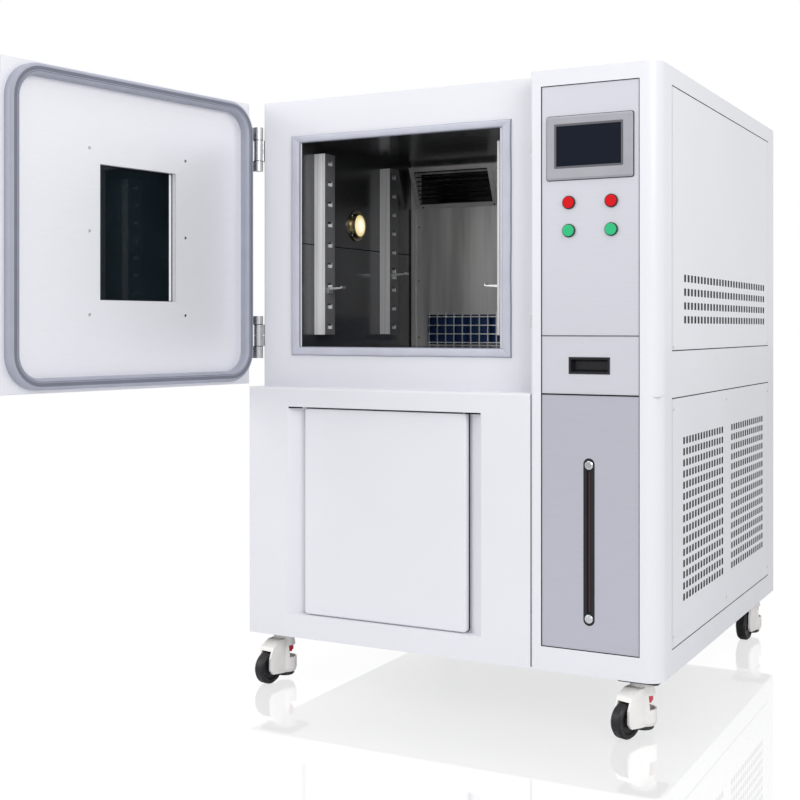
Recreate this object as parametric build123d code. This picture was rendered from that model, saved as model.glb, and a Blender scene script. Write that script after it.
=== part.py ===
from build123d import *
import math
import os

os.makedirs("parts", exist_ok=True)

# An environmental test chamber on levelling castors, in millimetres with +Z up.
# It is drawn from the cabinet's lower front left corner on the floor, and moved at the end so that the middle
# of its footprint is the origin. The front faces -Y and the door stands open.

# Cabinet
cabinet_width = 1074.0
cabinet_depth = 1153.0
ground_clearance = 125.0
base_top = 750.0
roof_top = 1481.0
column_left = 771.0
chamber_front_y = 68.0
sheet = 2.0
front_corner_radius = 6.0
column_corner_radius = 38.0
column_inner_corner_radius = 8.0
tray_thickness = 3.0
front_return_y = 110.0

# Machine cover in the base, and the sloped hand recess on each side of it
recess_left = 117.0
recess_right = 649.0
recess_bottom = 183.0
recess_top = 702.0
recess_depth = 32.0
recess_flange = 28.0
service_margin = 17.0
cover_width = 444.0
cover_face_y = 10.0
cover_gap = 1.5
cover_radius = 8.0

# Side vent panels
panel_front = 88.0
panel_back = 1080.0
lower_panel_bottom = 182.0
lower_panel_top = 743.0
upper_panel_bottom = 847.0
upper_panel_top = 1440.0
panel_gap = 1.5
panel_ledge = 14.0
vent_depth = 2.0
upper_vent_first_y = 190.0
upper_vent_pitch = 29.4
upper_vent_slots = 29
upper_vent_slot_width = 9.5
upper_vent_slot_height = 16.5
upper_vent_top_row = 1013.0
upper_vent_row_pitch = 31.7
upper_vent_rows = 4
lower_vent_first_y = 181.0
lower_vent_second_y = 638.0
lower_vent_pitch = 25.4
lower_vent_slots = 15
lower_vent_slot_width = 10.0
lower_vent_slot_height = 15.0
lower_vent_top_row = 641.0
lower_vent_row_pitch = 25.6
lower_vent_rows = 15
rear_vent_rows = 8
rear_vent_length = 360.0
rear_vent_height = 8.0
rear_vent_pitch = 24.0
rear_vent_bottom = 260.0

# Front of the column
insert_left = 797.0
insert_right = 1027.0
insert_bottom = 179.0
insert_top = 1445.0
insert_lap = 7.0
drawer_bottom = 750.0
drawer_top = 882.0
drawer_gap = 1.5
drawer_front_thickness = 4.0
drawer_tray_inset = 9.0
drawer_tray_depth = 240.0
drawer_tray_height = 92.0
drawer_tray_wall = 2.0
runner_clearance = 0.1
runner_shelf_depth = 256.0
pull_left = 863.0
pull_right = 959.0
pull_bottom = 796.0
pull_top = 834.0
pull_depth = 18.0
pull_flange = 3.0
pull_wall = 2.0
pull_taper = 5.0
bezel_left = 811.0
bezel_right = 1013.0
bezel_bottom = 1231.0
bezel_top = 1374.0
bezel_proud = 8.0
bezel_radius = 5.0
bezel_chamfer = 4.0
screen_left = 836.0
screen_right = 987.0
screen_bottom = 1261.0
screen_top = 1351.0
screen_depth = 2.0
display_case_inset = 6.0
display_case_depth = 38.0
button_left_x = 863.5
button_right_x = 962.5
button_upper_z = 1180.0
button_lower_z = 1117.0
button_ring_radius = 15.0
button_ring_proud = 5.0
button_ring_floor = 1.0
button_cap_radius = 13.0
button_cap_thickness = 3.9
button_ring_clearance = 0.2
button_travel = 3.0
button_stem_radius = 8.9
button_stem_clearance = 0.1
button_sleeve_radius = 11.0
button_sleeve_length = 26.0
gauge_x = 910.5
gauge_width = 26.5
gauge_bottom = 236.0
gauge_top = 609.0
gauge_groove = 10.0
gauge_body_depth = 14.0
gauge_lap = 5.0
gauge_pipe_radius = 7.0
gauge_screw_radius = 9.5
gauge_screw_inset = 15.5
tank_left = 800.0
tank_right = 1040.0
tank_front = 40.0
tank_back = 300.0
tank_height = 520.0

# Chamber
liner_left = 118.0
liner_right = 666.0
liner_bottom = 847.0
liner_top = 1378.0
liner_depth = 732.0
liner_sheet = 1.5
insulation_side_left = 10.0
insulation_side_right = 762.0
insulation_back_y = 880.0
mouth_gasket_outer = (85.0, 698.0, 828.0, 1391.0)
mouth_gasket_inner = (114.0, 671.0, 852.0, 1371.0)
mouth_gasket_thickness = 8.0
mouth_gasket_round = 5.0
upright_depth = 32.0
upright_width = 50.0
upright_sheet = 2.0
upright_bottom = 882.0
upright_top = 1350.0
upright_front_y = 127.0
upright_rear_y = 481.0
upright_slot_count = 9
upright_slot_pitch = 53.0
upright_first_slot_z = 903.0
upright_slot_width = 23.0
upright_slot_height = 13.0
peg_length = 41.0
peg_height = 18.0
peg_width = 20.0
peg_sheet = 3.0
peg_front_z = 998.0
peg_rear_z = 1047.0
baffle_y = 675.0
baffle_fold_width = 13.0
baffle_fold_left = 122.0
baffle_fold_depth = 7.0
hood_bottom_z = 1250.0
hood_top_z = 1367.0
hood_front_y = 622.0
hood_left = 136.0
hood_middle = 399.5
hood_right = 663.0
hood_seam = 1.0
hood_opening_side = 15.0
hood_opening_low = 17.6
hood_opening_high = 110.8
vane_count = 6
vane_depth = 8.0
grid_left = 178.0
grid_pitch_x = 27.0
grid_bars_x = 17
grid_bottom = 857.0
grid_pitch_z = 25.0
grid_bars_z = 4
grid_bar = 3.0
grid_opening_margin = 6.0
coil_left = 160.0
coil_right = 630.0
coil_front_y = 690.0
coil_depth = 60.0
coil_height = 210.0
coil_fins = 13
coil_fin_depth = 8.0
lamp_y = 345.0
lamp_z = 1179.0
lamp_flange_radius = 42.0
lamp_ring_radius = 34.0
lamp_glass_radius = 29.0
lamp_flange_thickness = 4.0
lamp_ring_height = 13.0
lamp_dome_height = 17.0
fan_x = 392.0
fan_z = 1195.0
fan_radius = 100.0
fan_hub_radius = 22.0
fan_plate_y = 770.0
fan_plate_thickness = 3.0
fan_blade_depth = 50.0
fan_blade_count = 8
fan_shaft_radius = 6.0
fan_shaft_clearance = 0.05
fan_passage_radius = 9.0
motor_radius = 60.0
motor_length = 130.0

# Door, drawn closed and then swung open about its hinge axis
door_left = 1.5
door_right = 766.5
door_bottom = 755.0
door_top = 1481.0
door_pan_depth = 41.8
door_inner_y = 43.3
door_edge_radius = 7.0
door_margin = 1.5
door_open_angle = 99.0
window_left = 261.0
window_right = 496.0
window_bottom = 963.0
window_top = 1275.0
window_lip_y = 30.0
pane_thickness = 6.0
outer_pane_y = 2.0
door_gasket_outer = (8.0, 757.0, 763.0, 1475.0)
door_gasket_width = 26.0
door_gasket_thickness = 24.3
door_gasket_corner = 80.0
door_gasket_round = 9.0
door_screw_columns = (230.0, 527.0)
door_screw_rows = (1309.0, 1120.0, 930.0)
hinge_x = -12.3
hinge_y = 62.0
hinge_radius = 12.0
hinge_pin_radius = 5.0
hinge_pin_clearance = 0.05
hinge_joint_gap = 0.3
upper_hinge = (1306.0, 1332.0, 1386.0, 1419.0)
lower_hinge = (821.0, 852.0, 908.0, 930.0)
hinge_groove = 1.0
leaf_thickness = 4.0
leaf_overhang = 8.0
handle_x = 690.0
handle_z = 1112.0
handle_hub_radius = 22.0
handle_neck_radius = 12.0
handle_length = 150.0
handle_lever_width = 22.0
handle_lever_thickness = 10.0
handle_reach = 44.0
handle_shaft_radius = 8.0
handle_shaft_clearance = 0.05
handle_shaft_length = 30.0
latch_y = 22.0
latch_heights = (1311.5, 913.5)
latch_width = 12.0
latch_height = 20.0
latch_length = 70.0
latch_pocket_length = 74.0
latch_clearance = 0.1
latch_recess = 0.5
latch_travel = 12.0
strike_proud = 2.5
strike_front_y = 8.0
strike_back_y = 36.0
strike_slot_margin = 1.5
strike_spans = ((1296.0, 1327.0), (899.0, 928.0))
switch_span = (1432.0, 1448.0)

# Castors: axis on the floor plan and heading in degrees, zero with the wheel towards the front
castor_places = {
    "fl": (67.0, 66.0, -9.0),
    "fr": (1018.0, 56.0, -20.0),
    "rr": (1022.0, 1092.0, -4.0),
    "rl": (60.0, 1092.0, 12.0),
}
castor_plate_size = 92.0
castor_plate_thickness = 5.0
castor_collar_radius = 20.0
castor_collar_height = 6.0
castor_running_gap = 0.1
castor_trail = 62.0
castor_wheel_radius = 40.0
castor_wheel_width = 27.0
castor_axle_radius = 4.0
castor_axle_clearance = 0.05
castor_well_radius = 43.0
castor_well_width = 31.0
castor_body_width = 42.0
castor_boss_radius = 30.0
castor_skirt_bottom = 21.0
castor_window_bottom = 57.0
castor_window_top = 88.0
castor_head_radius = 29.0
castor_head_bottom = 104.0
foot_rest_gap = 11.0
foot_pad_radius = 24.0
foot_pad_height = 12.0
foot_pad_clearance = 2.0
foot_stem_radius = 7.0
foot_stem_clearance = 0.1
foot_stem_top = 108.0
foot_nut_radius = 19.0
foot_nut_bottom = 70.0
foot_wheel_radius = 22.0
foot_wheel_bottom = 75.0
foot_wheel_top = 86.0


def block(x, y, z):
    """A block between two planes on each axis."""
    middle = Pos((x[0] + x[1]) / 2, (y[0] + y[1]) / 2, (z[0] + z[1]) / 2)
    return middle * Box(x[1] - x[0], y[1] - y[0], z[1] - z[0])


def prism(points, z):
    """A closed outline in plan, raised from one height to another."""
    return extrude(Pos(0, 0, z[0]) * make_face(Polyline(*points, close=True)), z[1] - z[0])


def side_prism(points, x):
    """A closed outline of depths and heights, drawn out across the width."""
    face = Plane.YZ.offset(x[0]) * make_face(Polyline(*points, close=True))
    return extrude(face, x[1] - x[0])


def front_prism(points, y):
    """A closed outline of widths and heights, drawn out from front to back."""
    face = Plane.XZ.offset(-y[0]) * make_face(Polyline(*points, close=True))
    return extrude(face, y[0] - y[1])


def turned(points, origin, direction):
    """A closed half outline of radius and height turned about an axis."""
    half = Plane.XZ * make_face(Polyline(*points, close=True))
    return Plane(origin=origin, z_dir=direction) * revolve(half, Axis.Z)


def rod(radius, length, origin, direction):
    """A round bar that starts at a point."""
    upright = Cylinder(radius, length, align=(Align.CENTER, Align.CENTER, Align.MIN))
    return Plane(origin=origin, z_dir=direction) * upright


def small_screw_head(radius, height, origin, direction):
    """An eight sided screw head with a narrower top."""
    foot = RegularPolygon(radius, 8)
    crown = RegularPolygon(radius * 0.7, 8)
    return Plane(origin=origin, z_dir=direction) * loft([foot, Pos(0, 0, height) * crown])


def rounded_plan(left, right, front, back, left_radius, right_radius):
    """A rectangle in plan whose two front corners are rounded."""
    outline = Rectangle(right - left, back - front, align=(Align.MIN, Align.MIN))
    outline = Pos(left, front) * outline
    corners = outline.vertices().sort_by(Axis.Y)[:2].sort_by(Axis.X)
    if left_radius:
        outline = fillet(corners[0], left_radius)
        corners = outline.vertices().sort_by(Axis.X)
        corners = corners.filter_by(lambda v: abs(v.X - right) < 0.01 and abs(v.Y - front) < 0.01)
    else:
        corners = corners[1:]
    return fillet(corners[0], right_radius)


# Heights and planes that follow from the sizes above
shell_bottom = ground_clearance + tray_thickness
roof_bottom = roof_top - sheet
back_panel_y = cabinet_depth - sheet
insert_y = (sheet, 2 * sheet)
column_inner_x = column_left + sheet
side_inner_x = cabinet_width - sheet
cover_left = (recess_left + recess_right - cover_width) / 2
cover_right = cover_left + cover_width
liner_back_y = chamber_front_y + liner_depth
liner_outer_x = (liner_left - liner_sheet, liner_right + liner_sheet)
liner_outer_z = (liner_bottom - liner_sheet, liner_top + liner_sheet)
shelf_top = drawer_bottom + drawer_gap - runner_clearance


def base_tray():
    """The floor sheet that the castors are bolted to."""
    outline = rounded_plan(0, cabinet_width, 0, cabinet_depth, front_corner_radius, column_corner_radius)
    return extrude(Pos(0, 0, ground_clearance) * outline, tray_thickness)


def recess_outline(grow):
    """The plan of the cover recess, with its sloped hand recesses, grown by a wall thickness."""
    slope_end = cover_left - 2
    far_slope_end = cover_right + 2
    depth = recess_depth + grow
    return [
        (recess_left - grow, -1),
        (recess_left - grow, grow / 2),
        (slope_end - grow / 2, depth),
        (far_slope_end + grow / 2, depth),
        (recess_right + grow, grow / 2),
        (recess_right + grow, -1),
    ]


def base_front():
    """The pressed front of the base with its deck, left return and cover recess."""
    outer = block((0, column_left), (0, front_return_y), (shell_bottom, base_top))
    edges = outer.edges().filter_by(Axis.Z).sort_by(Axis.X)[:2].sort_by(Axis.Y)[:1]
    edges = edges + outer.edges().filter_by(Axis.X).sort_by(Axis.Y)[:2].sort_by(Axis.Z)[-1:]
    outer = fillet(edges, front_corner_radius)
    inner = block((sheet, column_left + 1), (sheet, front_return_y + 1), (shell_bottom - 1, base_top - sheet))
    front = outer - inner
    hollow = prism(recess_outline(0), (recess_bottom, recess_top))
    pan = prism(recess_outline(sheet), (recess_bottom - sheet, recess_top + sheet))
    pan = pan & block((0, column_left), (sheet / 2, front_return_y), (shell_bottom, base_top))
    side = cover_left + recess_flange
    service = block(
        (side, cover_right - recess_flange),
        (0, front_return_y),
        (recess_bottom + service_margin, recess_top - service_margin),
    )
    return front + pan - hollow - service


def machine_cover():
    """The pull-off cover, a pan with rounded edges whose rim rests on the recess flange."""
    z = (recess_bottom + cover_gap, recess_top - cover_gap)
    outer = block((cover_left, cover_right), (cover_face_y, recess_depth), z)
    upright_edges = outer.edges().filter_by(Axis.Y)
    outer = fillet(upright_edges, cover_radius)
    outer = fillet(outer.faces().sort_by(Axis.Y)[0].edges(), cover_radius * 0.6)
    inner = block(
        (cover_left + sheet, cover_right - sheet),
        (cover_face_y + sheet, recess_depth + 1),
        (z[0] + sheet, z[1] - sheet),
    )
    inner = fillet(inner.edges().filter_by(Axis.Y), cover_radius - sheet)
    return outer - inner


def side_opening(z, x, inset):
    """The space of one side panel opening, drawn in by an inset."""
    return block(x, (panel_front + inset, panel_back - inset), (z[0] + inset, z[1] - inset))


def column_shell():
    """The column's front with its large rounded edge, and the right side with the panel openings."""
    height = roof_bottom - shell_bottom
    outer_plan = rounded_plan(
        column_left, cabinet_width, 0, back_panel_y, column_inner_corner_radius, column_corner_radius
    )
    inner_plan = rounded_plan(
        column_inner_x,
        side_inner_x,
        sheet,
        cabinet_depth,
        column_inner_corner_radius - sheet,
        column_corner_radius - sheet,
    )
    shell = extrude(Pos(0, 0, shell_bottom) * outer_plan, height)
    shell -= extrude(Pos(0, 0, shell_bottom) * inner_plan, height)
    shell -= block(
        (column_left - 1, column_inner_x + 1),
        (chamber_front_y + sheet, cabinet_depth),
        (shell_bottom - 1, roof_top),
    )
    shell -= block((insert_left, insert_right), (-1, sheet + 1), (insert_bottom, insert_top))
    for z in ((lower_panel_bottom, lower_panel_top), (upper_panel_bottom, upper_panel_top)):
        ledge = side_opening(z, (side_inner_x - sheet, side_inner_x), -panel_ledge / 2)
        shell += ledge
        shell -= side_opening(z, (side_inner_x, cabinet_width + 1), 0)
        shell -= side_opening(z, (side_inner_x - sheet - 1, side_inner_x + 1), panel_ledge)
    shell += block(
        (column_inner_x, side_inner_x),
        (insert_y[1], runner_shelf_depth),
        (shelf_top - sheet, shelf_top),
    )
    for height in latch_heights:
        shell -= latch_space((column_left - 1, column_inner_x + 1), height, strike_slot_margin)
    return shell


def vent_panel(z, first_columns, slots, pitch, slot_width, slot_height, top_row, row_pitch, rows):
    """A side panel with rows of slots: long cuts in the sheet, divided by upright strips on its back."""
    panel = block(
        (side_inner_x, cabinet_width),
        (panel_front + panel_gap, panel_back - panel_gap),
        (z[0] + panel_gap, z[1] - panel_gap),
    )
    strips = []
    bottom_row = top_row - (rows - 1) * row_pitch
    for first in first_columns:
        last = first + (slots - 1) * pitch + slot_width
        for row in range(rows):
            middle = top_row - row * row_pitch
            span = (middle - slot_height / 2, middle + slot_height / 2)
            panel -= block((side_inner_x - 1, cabinet_width + 1), (first, last), span)
        for number in range(slots - 1):
            start = first + number * pitch + slot_width
            strips.append(
                block(
                    (side_inner_x - vent_depth, side_inner_x),
                    (start, start + pitch - slot_width),
                    (bottom_row - slot_height, top_row + slot_height),
                )
            )
    return Compound(children=[panel] + strips)


def upper_vent_panel():
    """The upper panel of the right side."""
    return vent_panel(
        (upper_panel_bottom, upper_panel_top),
        (upper_vent_first_y,),
        upper_vent_slots,
        upper_vent_pitch,
        upper_vent_slot_width,
        upper_vent_slot_height,
        upper_vent_top_row,
        upper_vent_row_pitch,
        upper_vent_rows,
    )


def lower_vent_panel():
    """The lower panel of the right side."""
    return vent_panel(
        (lower_panel_bottom, lower_panel_top),
        (lower_vent_first_y, lower_vent_second_y),
        lower_vent_slots,
        lower_vent_pitch,
        lower_vent_slot_width,
        lower_vent_slot_height,
        lower_vent_top_row,
        lower_vent_row_pitch,
        lower_vent_rows,
    )


def left_roof_sheet():
    """The left side and the roof, bent from one sheet."""
    side = block((0, sheet), (front_return_y, back_panel_y), (shell_bottom, roof_bottom + sheet / 2))
    chamber_roof = rounded_plan(
        0, cabinet_width, chamber_front_y, cabinet_depth, front_corner_radius, front_corner_radius
    )
    column_roof = rounded_plan(
        column_left, cabinet_width, 0, cabinet_depth, column_inner_corner_radius, column_corner_radius
    )
    roof = extrude(Pos(0, 0, roof_bottom) * (chamber_roof - column_roof + column_roof), sheet)
    return roof + side


def rear_panel():
    """The back sheet, with a field of wide vent slots behind the condenser."""
    panel = block((0, cabinet_width), (back_panel_y, cabinet_depth), (shell_bottom, roof_bottom))
    middle = cabinet_width / 2
    for row in range(rear_vent_rows):
        bottom = rear_vent_bottom + row * rear_vent_pitch
        panel -= block(
            (middle - rear_vent_length / 2, middle + rear_vent_length / 2),
            (back_panel_y - 1, cabinet_depth + 1),
            (bottom, bottom + rear_vent_height),
        )
    return panel


def chamber_front():
    """The front frame around the chamber mouth, with its return on the left."""
    outer = block((0, column_left), (chamber_front_y, front_return_y), (base_top, roof_bottom))
    outer = fillet(outer.edges().filter_by(Axis.Z).sort_by(Axis.X)[:2].sort_by(Axis.Y)[:1], front_corner_radius)
    outer -= block(
        (sheet, column_left + 1),
        (chamber_front_y + sheet, front_return_y + 1),
        (base_top - 1, roof_bottom + 1),
    )
    return outer - block(liner_outer_x, (chamber_front_y - 1, front_return_y), liner_outer_z)


def insulation():
    """The foam between the liner and the outer sheets."""
    foam = block(
        (insulation_side_left, insulation_side_right),
        (chamber_front_y + sheet, insulation_back_y),
        (base_top, roof_bottom),
    )
    foam -= block(liner_outer_x, (0, liner_back_y + liner_sheet), liner_outer_z)
    return foam - fan_passage()


def fan_passage():
    """The hole that the fan shaft runs through at the back of the chamber."""
    return rod(fan_passage_radius, insulation_back_y - liner_back_y + 2, (fan_x, liner_back_y - 1, fan_z), (0, 1, 0))


def chamber_liner():
    """The welded stainless box inside the insulation."""
    outer = block(liner_outer_x, (chamber_front_y, liner_back_y + liner_sheet), liner_outer_z)
    inner = block((liner_left, liner_right), (chamber_front_y - 1, liner_back_y), (liner_bottom, liner_top))
    return outer - inner - fan_passage()


def mouth_gasket():
    """The flat seal with mitred corners around the mouth."""
    left, right, bottom, top = mouth_gasket_outer
    y = (chamber_front_y - mouth_gasket_thickness, chamber_front_y)
    ring = block((left, right), y, (bottom, top))
    left, right, bottom, top = mouth_gasket_inner
    ring -= block((left, right), (y[0] - 1, y[1] + 1), (bottom, top))
    return fillet(ring.faces().sort_by(Axis.Y)[0].edges(), mouth_gasket_round)


def mirrored_across_chamber(shape):
    """The same shape on the opposite wall of the chamber."""
    return mirror(shape, Plane.YZ.offset((liner_left + liner_right) / 2))


def rack_upright(front):
    """A channel with its open side on the wall and a row of slots in its face."""
    x = (liner_left, liner_left + upright_depth)
    z = (upright_bottom, upright_top)
    channel = block(x, (front, front + upright_width), z)
    channel -= block(
        (x[0] - 1, x[1] - upright_sheet),
        (front + upright_sheet, front + upright_width - upright_sheet),
        (z[0] - 1, z[1] + 1),
    )
    middle = front + upright_width / 2
    for number in range(upright_slot_count):
        height = upright_first_slot_z + number * upright_slot_pitch
        channel -= block(
            (x[1] - upright_sheet - 1, x[1] + 1),
            (middle - upright_slot_width / 2, middle + upright_slot_width / 2),
            (height - upright_slot_height / 2, height + upright_slot_height / 2),
        )
    return channel


def rack_uprights():
    """The four slotted uprights that carry the shelves."""
    left = [rack_upright(upright_front_y), rack_upright(upright_rear_y)]
    return Compound(children=left + [mirrored_across_chamber(shape) for shape in left])


def shelf_peg(front, height):
    """A bent shelf bracket with a lip at its end."""
    start = liner_left + upright_depth
    end = start + peg_length
    top = height + peg_height / 2
    low = height - peg_height / 2
    outline = [
        (start, low),
        (start + peg_sheet, low),
        (start + peg_sheet, top - 3 * peg_sheet),
        (end, top - 2 * peg_sheet),
        (end, top),
        (end - peg_sheet, top),
        (end - peg_sheet, top - peg_sheet),
        (start, top - peg_sheet),
    ]
    middle = front + upright_width / 2
    return front_prism(outline, (middle - peg_width / 2, middle + peg_width / 2))


def shelf_pegs():
    """One bracket on each upright."""
    left = [shelf_peg(upright_front_y, peg_front_z), shelf_peg(upright_rear_y, peg_rear_z)]
    return Compound(children=left + [mirrored_across_chamber(shape) for shape in left])


def grid_span():
    """Left, right, bottom and top of the return grille's bars."""
    right = grid_left + (grid_bars_x - 1) * grid_pitch_x
    top = grid_bottom + (grid_bars_z - 1) * grid_pitch_z
    return grid_left, right, grid_bottom, top


def air_baffle():
    """The sheet in front of the air space, with the grille and outlet openings."""
    y = (baffle_y, baffle_y + liner_sheet)
    sheet_body = block((liner_left, liner_right), y, (liner_bottom, liner_top))
    fold_right = baffle_fold_left + baffle_fold_width
    sheet_body += block(
        (baffle_fold_left, fold_right),
        (baffle_y - baffle_fold_depth, baffle_y),
        (liner_bottom, hood_bottom_z),
    )
    left, right, bottom, top = grid_span()
    sheet_body -= block(
        (left - grid_opening_margin, right + grid_opening_margin),
        (0, liner_back_y),
        (bottom - grid_opening_margin, top + grid_opening_margin),
    )
    for x in ((hood_left, hood_middle), (hood_middle, hood_right)):
        sheet_body -= block(
            (x[0] + hood_opening_side, x[1] - hood_opening_side),
            (0, liner_back_y),
            (hood_bottom_z + hood_opening_side, hood_top_z - hood_opening_side),
        )
    return sheet_body


def hood_plane(x):
    """The sloping face of the air outlet, with its height up the slope."""
    rise = hood_top_z - hood_bottom_z
    run = baffle_y - hood_front_y
    return Plane(origin=(x, baffle_y, hood_bottom_z), x_dir=(1, 0, 0), z_dir=(0, -rise, -run))


def outlet_hoods():
    """Two wedge shaped outlets side by side, each with a row of level vanes."""
    pieces = []
    spans = ((hood_left, hood_middle - hood_seam / 2), (hood_middle + hood_seam / 2, hood_right))
    for left, right in spans:
        wedge = [(baffle_y, hood_bottom_z), (hood_front_y, hood_top_z), (baffle_y, hood_top_z)]
        hood = side_prism(wedge, (left, right))
        inset = liner_sheet
        slope_inset = 3 * liner_sheet
        hollow = [
            (baffle_y + 1, hood_bottom_z + slope_inset - 2),
            (hood_front_y + slope_inset - 2, hood_top_z - inset),
            (baffle_y + 1, hood_top_z - inset),
        ]
        hood -= side_prism(hollow, (left + inset, right - inset))
        width = right - left - 2 * hood_opening_side
        height = hood_opening_high - hood_opening_low
        middle = (hood_opening_high + hood_opening_low) / 2
        plane = hood_plane((left + right) / 2)
        hood -= plane * Pos(0, middle, 0) * Box(width, height, 4 * liner_sheet)
        pieces.append(hood)
        pitch = height / (vane_count + 1)
        for number in range(vane_count):
            up = hood_opening_low + (number + 1) * pitch
            pieces.append(plane * Pos(0, up, -vane_depth / 2) * Box(width, liner_sheet, vane_depth))
    return Compound(children=pieces)


def return_grid():
    """Upright bars on the baffle's face with level bars behind them."""
    left, right, bottom, top = grid_span()
    pieces = []
    for number in range(grid_bars_x):
        middle = left + number * grid_pitch_x
        pieces.append(
            block(
                (middle - grid_bar / 2, middle + grid_bar / 2),
                (baffle_y - grid_bar, baffle_y),
                (liner_bottom, top + 2 * grid_opening_margin),
            )
        )
    for number in range(grid_bars_z):
        middle = bottom + number * grid_pitch_z
        pieces.append(
            block(
                (left - grid_opening_margin, right + grid_opening_margin),
                (baffle_y, baffle_y + grid_bar),
                (middle - grid_bar / 2, middle + grid_bar / 2),
            )
        )
    return Compound(children=pieces)


def cooling_coil():
    """The finned cooling coil on the chamber floor behind the return grille."""
    back = coil_front_y + coil_depth
    pitch = (coil_right - coil_left) / (2 * coil_fins - 1)
    outline = [(coil_left, back)]
    for number in range(coil_fins):
        start = coil_left + 2 * number * pitch
        outline += [(start, coil_front_y), (start + pitch, coil_front_y)]
        if number < coil_fins - 1:
            outline += [(start + pitch, coil_front_y + coil_fin_depth), (start + 2 * pitch, coil_front_y + coil_fin_depth)]
    outline.append((coil_right, back))
    return prism(outline, (liner_bottom, liner_bottom + coil_height))


def fan_impeller():
    """The circulation fan: back plate, straight blades, hub and shaft."""
    origin = (fan_x, fan_plate_y, fan_z)
    rotor = rod(fan_radius, fan_plate_thickness, origin, (0, 1, 0))
    rotor += rod(fan_hub_radius, fan_blade_depth, (fan_x, fan_plate_y - fan_blade_depth, fan_z), (0, 1, 0))
    blade = block(
        (fan_hub_radius - 2, fan_radius),
        (fan_plate_y - fan_blade_depth, fan_plate_y),
        (-fan_plate_thickness / 2, fan_plate_thickness / 2),
    )
    for number in range(fan_blade_count):
        rotor += Pos(fan_x, 0, fan_z) * Rot(0, number * 360 / fan_blade_count, 0) * blade
    shaft_end = insulation_back_y + motor_length * 0.6
    return rotor + rod(fan_shaft_radius, shaft_end - fan_plate_y, origin, (0, 1, 0))


def fan_motor():
    """The fan motor on the back of the insulation, with a mounting flange and a bored shaft seat."""
    bore = fan_shaft_radius + fan_shaft_clearance
    outline = [
        (bore, 0),
        (motor_radius * 1.35, 0),
        (motor_radius * 1.35, 6),
        (motor_radius, 6),
        (motor_radius, motor_length - 8),
        (motor_radius - 8, motor_length),
        (0, motor_length),
        (0, motor_length * 0.7),
        (bore, motor_length * 0.7),
    ]
    return turned(outline, (fan_x, insulation_back_y, fan_z), (0, 1, 0))


def lamp_housing():
    """The flanged metal ring of the chamber lamp."""
    outline = [
        (lamp_glass_radius, 0),
        (lamp_flange_radius, 0),
        (lamp_flange_radius, lamp_flange_thickness),
        (lamp_ring_radius, lamp_flange_thickness),
        (lamp_ring_radius - 1, lamp_ring_height),
        (lamp_glass_radius, lamp_ring_height),
    ]
    return turned(outline, (liner_left, lamp_y, lamp_z), (1, 0, 0))


def lamp_glass():
    """The domed glass of the chamber lamp."""
    outline = [
        (0, 0),
        (lamp_glass_radius, 0),
        (lamp_glass_radius, lamp_ring_height - 1),
        (lamp_glass_radius * 0.7, lamp_dome_height - 1.5),
        (0, lamp_dome_height),
    ]
    return turned(outline, (liner_left, lamp_y, lamp_z), (1, 0, 0))


def button_places():
    """Centres of the four button heads: lamp, stop, start and light."""
    return {
        "indicator": (button_right_x, button_upper_z),
        "stop": (button_left_x, button_upper_z),
        "start": (button_left_x, button_lower_z),
        "light": (button_right_x, button_lower_z),
    }


def control_plate():
    """The upper insert of the column, with cut-outs for the display and the buttons."""
    plate = block((insert_left - insert_lap, insert_right + insert_lap), insert_y, (drawer_top, insert_top + insert_lap))
    plate -= block(
        (bezel_left + display_case_inset, bezel_right - display_case_inset),
        (0, 2 * insert_y[1]),
        (bezel_bottom + display_case_inset, bezel_top - display_case_inset),
    )
    for x, z in button_places().values():
        plate -= rod(button_sleeve_radius, 4 * sheet, (x, 0, z), (0, 1, 0))
    return plate


def hmi_bezel():
    """The display unit: a bevelled frame in front of the plate and a case behind it."""
    width = bezel_right - bezel_left
    height = bezel_top - bezel_bottom
    middle = ((bezel_left + bezel_right) / 2, insert_y[0], (bezel_bottom + bezel_top) / 2)
    plane = Plane(origin=middle, x_dir=(1, 0, 0), z_dir=(0, -1, 0))
    frame = extrude(plane * RectangleRounded(width, height, bezel_radius), bezel_proud)
    frame = chamfer(frame.faces().sort_by(Axis.Y)[0].edges(), bezel_chamfer)
    case = block(
        (bezel_left + display_case_inset, bezel_right - display_case_inset),
        (insert_y[0], insert_y[0] + display_case_depth),
        (bezel_bottom + display_case_inset, bezel_top - display_case_inset),
    )
    return frame + case - hmi_screen()


def hmi_screen():
    """The dark screen glass, set flush in the display frame."""
    front = insert_y[0] - bezel_proud
    return block((screen_left, screen_right), (front, front + screen_depth), (screen_bottom, screen_top))


def button_ring(x, z):
    """A black ring with a sleeve through the plate."""
    well = button_cap_radius + button_ring_clearance
    bore = button_stem_radius + button_stem_clearance
    outline = [
        (bore, -button_sleeve_length),
        (button_sleeve_radius, -button_sleeve_length),
        (button_sleeve_radius, 0),
        (button_ring_radius, 0),
        (button_ring_radius, button_ring_proud - 1),
        (button_ring_radius - 1, button_ring_proud),
        (well, button_ring_proud),
        (well, button_ring_floor),
        (bore, button_ring_floor),
    ]
    return turned(outline, (x, insert_y[0], z), (0, -1, 0))


def button_cap(name):
    """A coloured cap with its stem and the collar that keeps it in its sleeve."""
    x, z = button_places()[name]
    back = button_ring_floor + button_travel + button_ring_clearance / 2
    front = back + button_cap_thickness
    collar = button_sleeve_radius - 1
    end = -button_sleeve_length - runner_clearance
    outline = [
        (0, end - 2),
        (collar, end - 2),
        (collar, end),
        (button_stem_radius, end),
        (button_stem_radius, back),
        (button_cap_radius, back),
        (button_cap_radius, front - 1.2),
        (button_cap_radius - 1.2, front),
        (0, front),
    ]
    return turned(outline, (x, insert_y[0], z), (0, -1, 0))


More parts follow.
